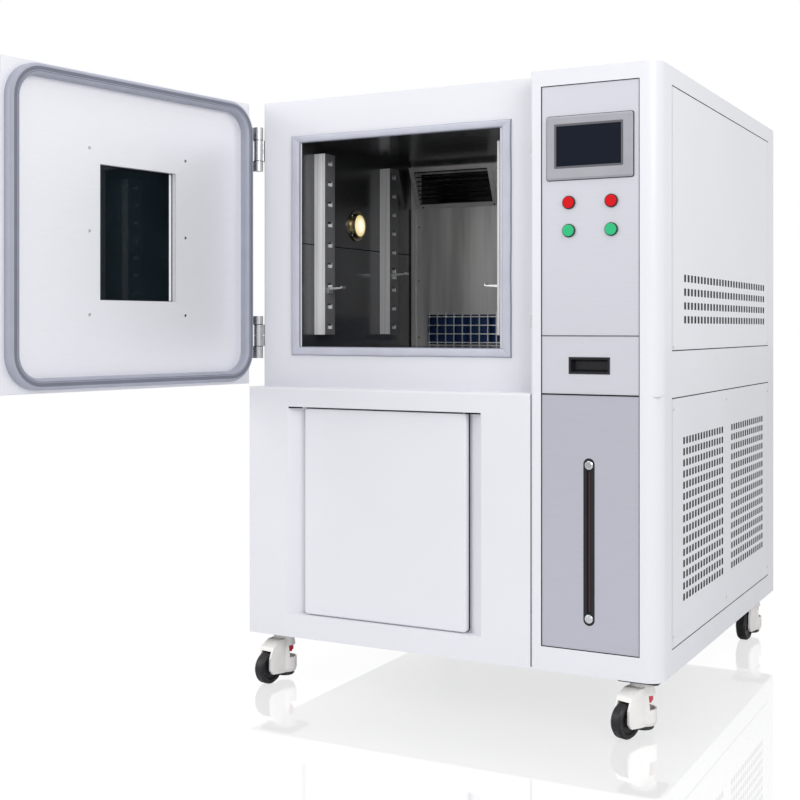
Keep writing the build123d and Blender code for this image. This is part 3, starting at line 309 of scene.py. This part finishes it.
paint = powder_coat()
# Painted shade: the liner's steel is darkened far below steel's own colour, to stand for the shade inside
# the closed chamber.
shaded_liner_steel = brushed("shaded_liner_steel", (0.115, 0.117, 0.122), 0.20, (0.4, 1, 12), metal=0.8, streak=0.12)
plain_steel = brushed("plain_steel", (0.55, 0.55, 0.56), 0.26, (2, 8, 8))
bright_steel = brushed("bright_steel", (0.86, 0.86, 0.87), 0.3, (4, 4, 1))
door_steel = brushed(
    "door_steel", (0.86, 0.865, 0.905), 0.36, (0.5, 0.5, 10), metal=0.3, streak=0.015, grain=0.03
)
plate_light = brushed(
    "plate_light", (0.63, 0.635, 0.69), 0.38, level_grain, metal=0.45, streak=0.02, grain=0.04
)
plate_grey = brushed(
    "plate_grey", (0.49, 0.495, 0.56), 0.38, level_grain, metal=0.5, streak=0.025, grain=0.04
)
seal = plastic("seal_rubber", (0.53, 0.54, 0.62), 0.6)
# Painted shade for the creases along both edges of the mouth seal.
seal_crease_shade = plastic("seal_crease_shade", (0.24, 0.27, 0.33), 0.6)
seal_door = plastic("seal_door", (0.36, 0.375, 0.45), 0.5)
# Painted shade for the groove and the lip line of the door seal.
seal_groove_shade = plastic("seal_groove_shade", (0.16, 0.17, 0.215), 0.5)
bezel_grey = plastic("bezel_grey", (0.36, 0.36, 0.395), 0.4)
bezel_dark = plastic("bezel_dark", (0.10, 0.10, 0.115), 0.45)
black = plastic("black_plastic", (0.010, 0.010, 0.013), 0.35, Specular_IOR_Level=0.35)
# gap_black is painted shade and shadow in gaps, slots and hinge joints, and also the dark seams of the
# liner and the joint round the pane.
gap_black = plastic("gap_black", (0.012, 0.012, 0.015), 0.8, Specular_IOR_Level=0.1)
red = plastic("red_cap", (0.62, 0.004, 0.008), 0.3, grain=0.05, Specular_IOR_Level=0.2)
green = plastic("green_cap", (0.035, 0.50, 0.21), 0.3, grain=0.05, Specular_IOR_Level=0.2)
red_line = plastic("red_line", (0.12, 0.004, 0.006), 0.5)
chrome = brushed("chrome", (0.62, 0.62, 0.64), 0.16, even_grain)
lamp_ring = brushed("lamp_ring", (0.42, 0.37, 0.24), 0.25, even_grain)
foam = plastic("foam", (0.75, 0.70, 0.50), 0.8, grain=0.4)
coil_fins = brushed("coil_fins", (0.02, 0.06, 0.19), 0.4, (40, 1, 1), metal=0.6, streak=0.25)
steel_black = plastic("steel_black", (0.012, 0.012, 0.014), 0.45)
cast_white = plastic("cast_white", (0.86, 0.845, 0.82), 0.36, grain=0.2, Coat_Weight=0.2)
tyre_black = plastic("tyre_black", (0.009, 0.009, 0.011), 0.36, grain=0.3, Specular_IOR_Level=0.35)
# cast_dark is the fan motor's colour and also the painted shade behind the vent slots.
cast_dark = plastic("cast_dark", (0.05, 0.05, 0.055), 0.6, grain=0.3)
# pale_strip is also the painted light behind the slots of the rack uprights.
pale_strip = plastic("pale_strip", (0.80, 0.82, 0.84), 0.4)


def on_castors(kind):
    """The names of one kind of node on all four castors."""
    return " ".join(f"castor_{kind}_{corner}" for corner in ("fl", "fr", "rr", "rl"))


dress = (
    (paint, "base_tray base_front column_shell right_upper_panel right_lower_panel"),
    (paint, "left_roof_sheet rear_panel chamber_front machine_cover door_pan"),
    (shaded_liner_steel, "chamber_liner"),
    (baffle_steel(), "air_baffle"),
    (hood_steel(), "outlet_hoods"),
    (upright_steel(), "rack_uprights"),
    (bright_steel, "shelf_pegs return_grid"),
    (plain_steel, "cabinet_hinges door_hinges latch_bolts fan_impeller water_tank"),
    (lamp_ring, "lamp_housing"),
    (lamp_glow(), "lamp_glass"),
    (door_steel, "door_inner_panel"),
    (plate_light, "control_plate water_drawer"),
    (plate_grey, "lower_plate"),
    (seal, "mouth_gasket"),
    (seal_door, "door_gasket"),
    (bezel_grey, "hmi_bezel"),
    (screen_glass(), "hmi_screen"),
    (black, "button_rings drawer_pull level_gauge"),
    (red, "indicator_cap stop_button"),
    (green, "start_button light_button"),
    (chrome, "cabinet_screws door_screws strike_plates door_handle"),
    (painted_dark_window_glass(), "window_panes"),
    (foam, "insulation"),
    (coil_fins, "cooling_coil"),
    (steel_black, "castor_plates condensing_unit"),
    (cast_dark, "fan_motor"),
    (cast_white, on_castors("housing")),
    (tyre_black, on_castors("wheel")),
    (foot_paint(), on_castors("foot")),
)
for material, names in dress:
    for name in names.split():
        nodes[name].data.materials.clear()
        nodes[name].data.materials.append(material)

# Makers of pieces

BOX_FACES = ((0, 1, 3, 2), (4, 6, 7, 5), (0, 4, 5, 1), (2, 3, 7, 6), (0, 2, 6, 4), (1, 5, 7, 3))


def make_piece(name, points, faces, materials, body, chosen=None):
    """A mesh in cabinet millimetres that rides on a body. Chosen gives each face its material's number."""
    mesh = bpy.data.meshes.new(name)
    mesh.from_pydata([at(*point) for point in points], [], faces)
    for material in materials:
        mesh.materials.append(material)
    if chosen:
        mesh.polygons.foreach_set("material_index", chosen)
    made = bpy.data.objects.new(name, mesh)
    bpy.context.scene.collection.objects.link(made)
    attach(made, body)
    return made


def strips(name, boxes, material, body="cabinet", place=as_is):
    """Flat strips, each between two planes on each axis, as one piece."""
    points = []
    faces = []
    for x, y, z in boxes:
        start = len(points)
        points += [place(a, b, c) for a in x for b in y for c in z]
        faces += [tuple(start + corner for corner in face) for face in BOX_FACES]
    return make_piece(name, points, faces, [material], body)


def rounded_outline(x, z, radius, steps=8):
    """A rounded rectangle of widths and heights, anticlockwise from its lower right corner."""
    centres = (
        (x[1] - radius, z[0] + radius, -90),
        (x[1] - radius, z[1] - radius, 0),
        (x[0] + radius, z[1] - radius, 90),
        (x[0] + radius, z[0] + radius, 180),
    )
    points = []
    for centre_x, centre_z, start in centres:
        for step in range(steps + 1):
            angle = math.radians(start + 90 * step / steps)
            points.append((centre_x + radius * math.cos(angle), centre_z + radius * math.sin(angle)))
    return points


def rounded_ring(name, x, z, radius, width, y, material, body="cabinet", place=as_is):
    """A flat ring with rounded corners, of a width inwards from its outline."""
    outer = rounded_outline(x, z, radius)
    inner = rounded_outline(grown(x, -width), grown(z, -width), max(radius - width, 1))
    count = len(outer)
    points = [place(px, depth, pz) for depth in y for loop in (outer, inner) for px, pz in loop]
    faces = []
    for first in range(count):
        second = (first + 1) % count
        front_out, front_in, back_out, back_in = (first + ring * count for ring in range(4))
        next_out, next_in, next_back_out, next_back_in = (second + ring * count for ring in range(4))
        faces.append((front_out, next_out, next_in, front_in))
        faces.append((back_in, next_back_in, next_back_out, back_out))
        faces.append((front_out, back_out, next_back_out, next_out))
        faces.append((front_in, next_in, next_back_in, back_in))
    return make_piece(name, points, faces, [material], body)


# Punched side panels: widths along the cabinet and heights, from the photographed rows
upper_slot = (16.5, 17.0)
upper_pitch = (29.4, 31.7)
upper_count = (29, 4)
upper_first = (194.75, 917.9)
lower_slot = (14.5, 16.5)
lower_pitch = (25.4, 25.6)
lower_count = (15, 15)
lower_front_first = (186.0, 282.6)
lower_rear_first = (643.0, 282.6)
slot_wall = 0.8
slot_corner = 2.0
slot_steps = 2
SHEET, SLOT_SHADE = 0, 1


def slot_outline(width, height):
    """Points round a slot with rounded corners, anticlockwise from its upper right corner."""
    outline = rounded_outline((-width / 2, width / 2), (-height / 2, height / 2), slot_corner, slot_steps)
    return outline[slot_steps + 1:] + outline[:slot_steps + 1]


def cell_edges(first, pitch, count):
    """The lines between cells, with each slot in the middle of its cell."""
    return [round(first - pitch / 2 + pitch * number, 3) for number in range(count + 1)]


def punched_sheet(name, node, firsts, pitch, count, slot_size):
    """A side sheet with fields of punched slots, in place of a CAD panel."""
    (_, face), y_span, z_span = spans(node)
    fields = []
    for first in firsts:
        ys = cell_edges(first[0], pitch[0], count[0])
        zs = cell_edges(first[1], pitch[1], count[1])
        fields.append((ys, zs))
    columns = sorted({edge for ys, _ in fields for edge in ys} | set(y_span))
    rows = sorted({edge for _, zs in fields for edge in zs} | set(z_span))
    cells = {(y, z) for ys, zs in fields for y in ys[:-1] for z in zs[:-1]}
    points = []
    faces = []
    chosen = []
    known = {}

    def point(y, z, depth=0.0):
        """The number of a point, which neighbours share."""
        key = (round(y, 3), round(z, 3), depth)
        if key not in known:
            known[key] = len(points)
            points.append((face - depth, y, z))
        return known[key]

    def add_face(corners, material):
        faces.append(corners)
        chosen.append(material)

    def slot_cell(y, z):
        """The sheet round one slot and the slot's wall, in painted shade."""
        middle_y, middle_z = middle_of(y), middle_of(z)
        outline = slot_outline(*slot_size)
        edge = [point(middle_y + a, middle_z + b) for a, b in outline]
        deep = [point(middle_y + a, middle_z + b, slot_wall) for a, b in outline]
        corner = [point(y[1], z[1]), point(y[0], z[1]), point(y[0], z[0]), point(y[1], z[0])]
        size = len(edge)
        for first in range(size):
            second = (first + 1) % size
            add_face((edge[second], edge[first], deep[first], deep[second]), SLOT_SHADE)
        for number in range(4):
            start = number * (slot_steps + 1)
            stop = start + slot_steps
            for first in range(start, stop):
                add_face((corner[number], edge[first + 1], edge[first]), SHEET)
            following = (number + 1) % 4
            add_face((corner[number], corner[following], edge[(stop + 1) % size], edge[stop]), SHEET)

    for y in zip(columns, columns[1:]):
        for z in zip(rows, rows[1:]):
            if (y[0], z[0]) in cells:
                slot_cell(y, z)
            else:
                corners = (point(y[0], z[0]), point(y[1], z[0]), point(y[1], z[1]), point(y[0], z[1]))
                add_face(corners, SHEET)
    # The slot walls take gap_black, a painted shade inside the slots.
    made = make_piece(name, points, faces, [paint, gap_black], "cabinet", chosen)
    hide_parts(node)


def vent_shade_sheets(setback=7.0, thickness=1.0, front_margin=60.0, rear_margin=25.0):
    """Dark sheets behind both fields of slots, a painted shade seen through the slots."""
    upper_z = (880.0, 1040.0)
    lower_z = (250.0, 670.0)
    (_, face), y, _ = spans("right_upper_panel")
    depth = (face - setback - thickness, face - setback)
    inner_y = (y[0] + front_margin, y[1] - rear_margin)
    strips("vent_shade_sheet", [(depth, inner_y, upper_z), (depth, inner_y, lower_z)], cast_dark)


def panel_gap_shadows(beyond=1.2, over=0.9, sunk=1.0, proud=0.2):
    """Painted shadows in the gaps along the upper and lower edges of the side panels."""
    boxes = []
    for node in ("right_upper_panel", "right_lower_panel"):
        (_, face), y, z = spans(node)
        depth = (face - sunk, face + proud)
        boxes.append((depth, y, (z[0] - beyond, z[0] + over)))
        boxes.append((depth, y, (z[1] - over, z[1] + beyond)))
    strips("panel_gap_shadows", boxes, gap_black)


def column_reveal_shadows(plate_lap=7.0, width=1.6, front=1.5, back=0.05, below=(-0.6, 2.3), above=(0.2, 1.7)):
    """Painted shadows in the reveals round the column's inserts and below and above the drawer."""
    x, (plate_face, _), (plate_bottom, plate_top) = spans("lower_plate")
    drawer_top = spans("water_drawer")[2][1]
    top = spans("control_plate")[2][1] - plate_lap
    bottom = plate_bottom + plate_lap
    left, right = grown(x, -plate_lap)
    depth = (plate_face - front, plate_face - back)
    under_drawer = (plate_top + below[0], plate_top + below[1])
    over_drawer = (drawer_top + above[0], drawer_top + above[1])
    boxes = [
        ((left, left + width), depth, (bottom, top)),
        ((right - width, right), depth, (bottom, top)),
        ((left, right), depth, (top - width, top)),
        ((left, right), depth, (bottom, bottom + width)),
        ((left, right), depth, under_drawer),
        ((left, right), depth, over_drawer),
    ]
    strips("column_reveal_shadows", boxes, gap_black)


def bezel_gap_shadow(margin=1.4, corner=6.0, width=3.0, thickness=1.4):
    """A painted shadow in the joint between the display unit and the control plate."""
    x, _, z = spans("hmi_bezel")
    plate_face = spans("control_plate")[1][0]
    depth = (plate_face - thickness, plate_face)
    rounded_ring("bezel_gap_shadow", grown(x, margin), grown(z, margin), corner, width, depth, gap_black)


def screen_frame(width=5.0, corner=3.0, proud=0.01, thickness=1.0):
    """The dark inner frame round the screen, on the face of the display unit."""
    x, _, z = spans("hmi_screen")
    face = spans("hmi_bezel")[1][0]
    depth = (face - proud, face + thickness)
    rounded_ring("screen_frame", grown(x, width), grown(z, width), corner, width, depth, bezel_dark)


def cover_edge_shadow(width=1.3, cover_corner=8.0, depth_behind=(5.0, 1.0)):
    """A painted shadow round the rear edge of the machine cover."""
    x, y, z = spans("machine_cover")
    depth = (y[1] - depth_behind[0], y[1] - depth_behind[1])
    corner = cover_corner + width
    rounded_ring("cover_edge_shadow", grown(x, width), grown(z, width), corner, width, depth, gap_black, "cover")


# Recess of the machine cover in the base front
recess_x = (117.0, 649.0)
cover_gap = 1.5
# Height of the painted shadow lines under the recess top.
shadow_line_height = 2.6


def cover_shadow_line(end_margin=6.0, top_margin=0.4, proud=0.3, thickness=1.3):
    """A painted shadow line along the upper edge of the cover, on the cover's own face."""
    x, y, z = spans("machine_cover")
    depth = (y[0] - proud, y[0] - proud + thickness)
    height = (z[1] - shadow_line_height, z[1] - top_margin)
    strips("cover_shadow_line", [(grown(x, -end_margin), depth, height)], gap_black, "cover")


def recess_shadow_line(end_margin=3.0, cover_margin=1.0, top_margin=0.1, deeper=1.0, depth=(0.6, 2.6)):
    """The same painted shadow line over both hand recesses, clear of the cover's way out."""
    x, _, z = spans("machine_cover")
    recess_top = z[1] + cover_gap
    height = (recess_top - shadow_line_height - deeper, recess_top - top_margin)
    left = (recess_x[0] + end_margin, x[0] - cover_margin)
    right = (x[1] + cover_margin, recess_x[1] - end_margin)
    strips("recess_shadow_line", [(left, depth, height), (right, depth, height)], gap_black)


def gauge_line(half_width=0.9, end_margin=36.0, sunk=3.2, thickness=0.8):
    """The red line down the sight groove of the level gauge."""
    x, y, z = spans("level_gauge")
    middle = middle_of(x)
    depth = (y[0] + sunk, y[0] + sunk + thickness)
    width = (middle - half_width, middle + half_width)
    strips("gauge_line", [(width, depth, grown(z, -end_margin))], red_line)


def liner_seams(height=1115.2, half_width=1.4, wall=1.5, proud=0.4, front_margin=2.0):
    """The level seam of the liner on its left and right walls."""
    x, y, _ = spans("chamber_liner")
    depth = (y[0] + front_margin, spans("air_baffle")[1][0])
    level = (height - half_width, height + half_width)
    left, right = grown(x, -wall)
    boxes = [((left, left + proud), depth, level), ((right - proud, right), depth, level)]
    strips("liner_seams", boxes, gap_black)


# Slots of the rack uprights: from each upright's foot and side, as in the CAD
upright_depth = 32.0
upright_half_width = 25.0
first_slot = 21.0
slot_spacing = 53.0
slot_number = 9


def upright_slot_lights(setback=3.0, thickness=1.2, along=(-3.0, 14.0), height=(-9.0, 2.0)):
    """A pale strip behind each slot of the rack uprights, a painted light for the lit wall seen through the
    slots.
    """
    (left, right), y, (foot, _) = spans("rack_uprights")
    inner = upright_depth - setback
    boxes = []
    for x in ((left + inner - thickness, left + inner), (right - inner, right - inner + thickness)):
        for middle in grown(y, -upright_half_width):
            tab_y = (middle + along[0], middle + along[1])
            for number in range(slot_number):
                level = foot + first_slot + number * slot_spacing
                boxes.append((x, tab_y, (level + height[0], level + height[1])))
    strips("upright_slot_lights", boxes, pale_strip)


# Soft mouth seal: band widths at the left, right, bottom and top
seal_left, seal_right, seal_bottom, seal_top = 29.0, 27.0, 24.0, 20.0
seal_steps = 48
seal_across = 12
RUBBER, CREASE_SHADE = 0, 1


def seal_bulge(share):
    """Height of the bulb across the band, from none at its edges to one."""
    return (1 - abs(2 * share - 1) ** 3) ** 0.5


def seal_wave(side, along, ripple=17, ripple_shift=5, sway=6):
    """The slight waviness along one side of the seal, from none to one."""
    return 0.5 + 0.5 * math.sin(ripple * along + ripple_shift * side) * math.cos(sway * along + side)


def corner_fold(along, fold=0.35, sharpness=60):
    """How much of the bulb is left near the mitred corners."""
    return 1 - fold * math.exp(-min(along, 1 - along) * sharpness)


def between(start, stop, share):
    """The point at a share of the way from one point to another."""
    return [start[axis] + (stop[axis] - start[axis]) * share for axis in (0, 1)]


def corners_of(x, z):
    """The corners of a rectangle, anticlockwise from the lower left."""
    return (x[0], z[0]), (x[1], z[0]), (x[1], z[1]), (x[0], z[1])


def soft_seal(edge_inset=0.02, wander=0.05, band=0.96, narrowing=0.04, wave_height=0.14):
    """The soft seal round the chamber mouth, slightly wavy, in place of the plain ring."""
    x, y, z = spans("mouth_gasket")
    outer = corners_of(x, z)
    inner = corners_of((x[0] + seal_left, x[1] - seal_right), (z[0] + seal_bottom, z[1] - seal_top))
    points = []
    faces = []
    chosen = []
    row = seal_across + 1
    for side in range(4):
        start = len(points)
        following = (side + 1) % 4
        for step in range(seal_steps + 1):
            along = step / seal_steps
            wave = seal_wave(side, along)
            outside = between(outer[side], outer[following], along)
            inside = between(inner[side], inner[following], along)
            rise = (y[1] - y[0]) * corner_fold(along) * (1 - wave_height + wave_height * wave)
            for number in range(row):
                share = number / seal_across
                inset = edge_inset + wander * wave + share * (band - narrowing * wave)
                px, pz = between(outside, inside, inset)
                points.append((px, y[1] - rise * seal_bulge(share), pz))
        for step in range(seal_steps):
            for number in range(seal_across):
                corner = start + step * row + number
                faces.append((corner, corner + row, corner + row + 1, corner + 1))
                # Painted shade: the outermost rows at both edges of the band, where the bulb meets the
                # sheet, take the darker rubber colour.
                chosen.append(CREASE_SHADE if number in (0, seal_across - 1) else RUBBER)
    made = make_piece("mouth_seal", points, faces, [seal, seal_crease_shade], "cabinet", chosen)
    made.data.shade_smooth()
    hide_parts("mouth_gasket")


# Door seal on the closed door: its width, height, corner radius and the depth of its crest
door_seal_x = (8.0, 757.0)
door_seal_z = spans("door_gasket")[2]
door_seal_corner = 80.0
door_seal_crest = 67.6


def door_seal_shade_band(name, inset, width, sunk=1.0, proud=0.15):
    """One band of painted shade along the door seal, inwards from its outline."""
    depth = (door_seal_crest - sunk, door_seal_crest + proud)
    x, z = grown(door_seal_x, -inset), grown(door_seal_z, -inset)
    corner = door_seal_corner - inset
    rounded_ring(name, x, z, corner, width, depth, seal_groove_shade, "door", on_door)


# Window opening on the closed door: the panes reach a little under its edges
pane_lap = 1.5
window_x = (261.0, 496.0)
window_z = grown(spans("window_panes")[2], -pane_lap)
pane_face = 30.0
trim_depth = (pane_face, pane_face + 0.4)


def window_spacer(near=3.0, far=10.0):
    """The pale spacer at the hinge side of the window."""
    x = (window_x[0] + near, window_x[0] + far)
    strips("window_spacer", [(x, trim_depth, window_z)], pale_strip, "door", on_door)


def pane_joint(corner=2.0, width=2.5):
    """The dark joint round the pane."""
    rounded_ring("pane_joint", window_x, window_z, corner, width, trim_depth, gap_black, "door", on_door)


# Joints between the knuckles, from the top of the upper hinge and from the foot of the lower one
upper_joints = (87.0, 33.0)
lower_joints = (31.0, 87.0)


def knuckle_gap_shades(radius=12.25, half_height=0.9, sides=32):
    """Dark rings of painted shade in the joints between the knuckles of both door hinges."""
    low, high = spans("cabinet_hinges")[2]
    joints = [high - step for step in upper_joints] + [low + step for step in lower_joints]
    points = []
    faces = []
    for joint in joints:
        start = len(points)
        for level in (joint - half_height, joint + half_height):
            for number in range(sides):
                angle = 2 * math.pi * number / sides
                x = hinge_axis[0] + radius * math.cos(angle)
                y = hinge_axis[1] + radius * math.sin(angle)
                points.append((x, y, level))
        top = start + sides
        for number in range(sides):
            following = (number + 1) % sides
            faces.append((start + number, start + following, top + following, top + number))
        faces.append(tuple(start + number for number in reversed(range(sides))))
        faces.append(tuple(top + number for number in range(sides)))
    make_piece("knuckle_gap_shades", points, faces, [gap_black], "cabinet")


lower_firsts = (lower_front_first, lower_rear_first)
punched_sheet("upper_vent_sheet", "right_upper_panel", [upper_first], upper_pitch, upper_count, upper_slot)
punched_sheet("lower_vent_sheet", "right_lower_panel", lower_firsts, lower_pitch, lower_count, lower_slot)
vent_shade_sheets()
panel_gap_shadows()
column_reveal_shadows()
bezel_gap_shadow()
screen_frame()
cover_edge_shadow()
cover_shadow_line()
recess_shadow_line()
gauge_line()
liner_seams()
upright_slot_lights()
soft_seal()
door_seal_shade_band("door_seal_groove", inset=8.0, width=8.0)
door_seal_shade_band("door_seal_lip", inset=17.5, width=1.6)
window_spacer()
pane_joint()
knuckle_gap_shades()

# Camera, light and floor

image_width = 800.0
focal_pixels = 1292.72
horizon_row = 328.2
camera_place = (1880.9, -2736.9, 898.5)
camera_heading = 27.827
sensor = 36.0


def add_camera():
    """The camera of the photograph: level, with its horizon above the middle of the picture."""
    data = bpy.data.cameras.new("camera")
    data.sensor_width = sensor
    data.lens = focal_pixels / image_width * sensor
    data.shift_y = (horizon_row - image_width / 2) / image_width
    camera = bpy.data.objects.new("camera", data)
    camera.location = at(*camera_place)
    camera.rotation_euler = (math.radians(90), 0, math.radians(camera_heading))
    bpy.context.scene.collection.objects.link(camera)
    bpy.context.scene.camera = camera


def area_light(name, place, target, size, power):
    """A soft square light aimed at a point of the cabinet."""
    data = bpy.data.lights.new(name, "AREA")
    data.size = size
    data.energy = power
    made = bpy.data.objects.new(name, data)
    made.location = at(*place)
    made.rotation_euler = (at(*target) - at(*place)).to_track_quat("-Z", "Y").to_euler()
    bpy.context.scene.collection.objects.link(made)


def add_world(light, seen):
    """A white world that lights softly and is seen, mirrored and looked through at full white."""
    world = bpy.data.worlds.new("world")
    bpy.context.scene.world = world
    world.use_nodes = True
    tree = world.node_tree
    back = tree.nodes["Background"]
    back.inputs["Color"].default_value = (1, 1, 1, 1)
    path = tree.nodes.new("ShaderNodeLightPath")
    rays = path.outputs["Is Camera Ray"]
    for other in ("Is Glossy Ray", "Is Transmission Ray"):
        either = tree.nodes.new("ShaderNodeMath")
        either.operation = "MAXIMUM"
        tree.links.new(rays, either.inputs[0])
        tree.links.new(path.outputs[other], either.inputs[1])
        rays = either.outputs[0]
    level = tree.nodes.new("ShaderNodeMapRange")
    level.inputs["To Min"].default_value = light
    level.inputs["To Max"].default_value = seen
    tree.links.new(rays, level.inputs["Value"])
    tree.links.new(level.outputs["Result"], back.inputs["Strength"])


def floor_material(glow, grey, mirror, polish=0.02, unseen=(0.85, 0.85, 0.86)):
    """A white studio floor with a soft shadow and a faint mirror image, and plain to all but the camera."""
    material = bpy.data.materials.new("floor")
    material.use_nodes = True
    tree = material.node_tree
    tree.nodes.clear()

    def shader(kind, color, **values):
        made = tree.nodes.new(kind)
        made.inputs["Color"].default_value = (*color, 1)
        for key, value in values.items():
            made.inputs[key].default_value = value
        return made.outputs[0]

    def mixed(factor, first, second):
        mix = tree.nodes.new("ShaderNodeMixShader")
        if isinstance(factor, float):
            mix.inputs["Fac"].default_value = factor
        else:
            tree.links.new(factor, mix.inputs["Fac"])
        tree.links.new(first, mix.inputs[1])
        tree.links.new(second, mix.inputs[2])
        return mix.outputs[0]

    both = tree.nodes.new("ShaderNodeAddShader")
    tree.links.new(shader("ShaderNodeBsdfDiffuse", (grey,) * 3), both.inputs[0])
    tree.links.new(shader("ShaderNodeEmission", (1, 1, 1), Strength=glow), both.inputs[1])
    seen = mixed(mirror, both.outputs[0], shader("ShaderNodeBsdfGlossy", (1, 1, 1), Roughness=polish))
    plain = shader("ShaderNodeBsdfDiffuse", unseen)
    path = tree.nodes.new("ShaderNodeLightPath")
    output = tree.nodes.new("ShaderNodeOutputMaterial")
    tree.links.new(mixed(path.outputs["Is Camera Ray"], plain, seen), output.inputs[0])
    return material


def add_floor(reach=60.0):
    """A wide floor under the castors."""
    mesh = bpy.data.meshes.new("floor")
    edges = (-reach, reach)
    mesh.from_pydata([(x, y, 0) for x, y in corners_of(edges, edges)], [], [(0, 1, 2, 3)])
    mesh.materials.append(floor_material(glow=0.93, grey=0.12, mirror=0.24))
    floor = bpy.data.objects.new("floor", mesh)
    bpy.context.scene.collection.objects.link(floor)


add_camera()
area_light("key_right", place=(3600, -2400, 2600), target=(500, 400, 800), size=2.2, power=66)
area_light("fill_left", place=(-2600, -2600, 2200), target=(300, 300, 900), size=2.6, power=44)
area_light("top_soft", place=(400, -300, 3800), target=(500, 300, 900), size=3.0, power=37)
add_world(light=0.61, seen=1.0)
add_floor()
bpy.context.scene.view_settings.view_transform = "Standard"
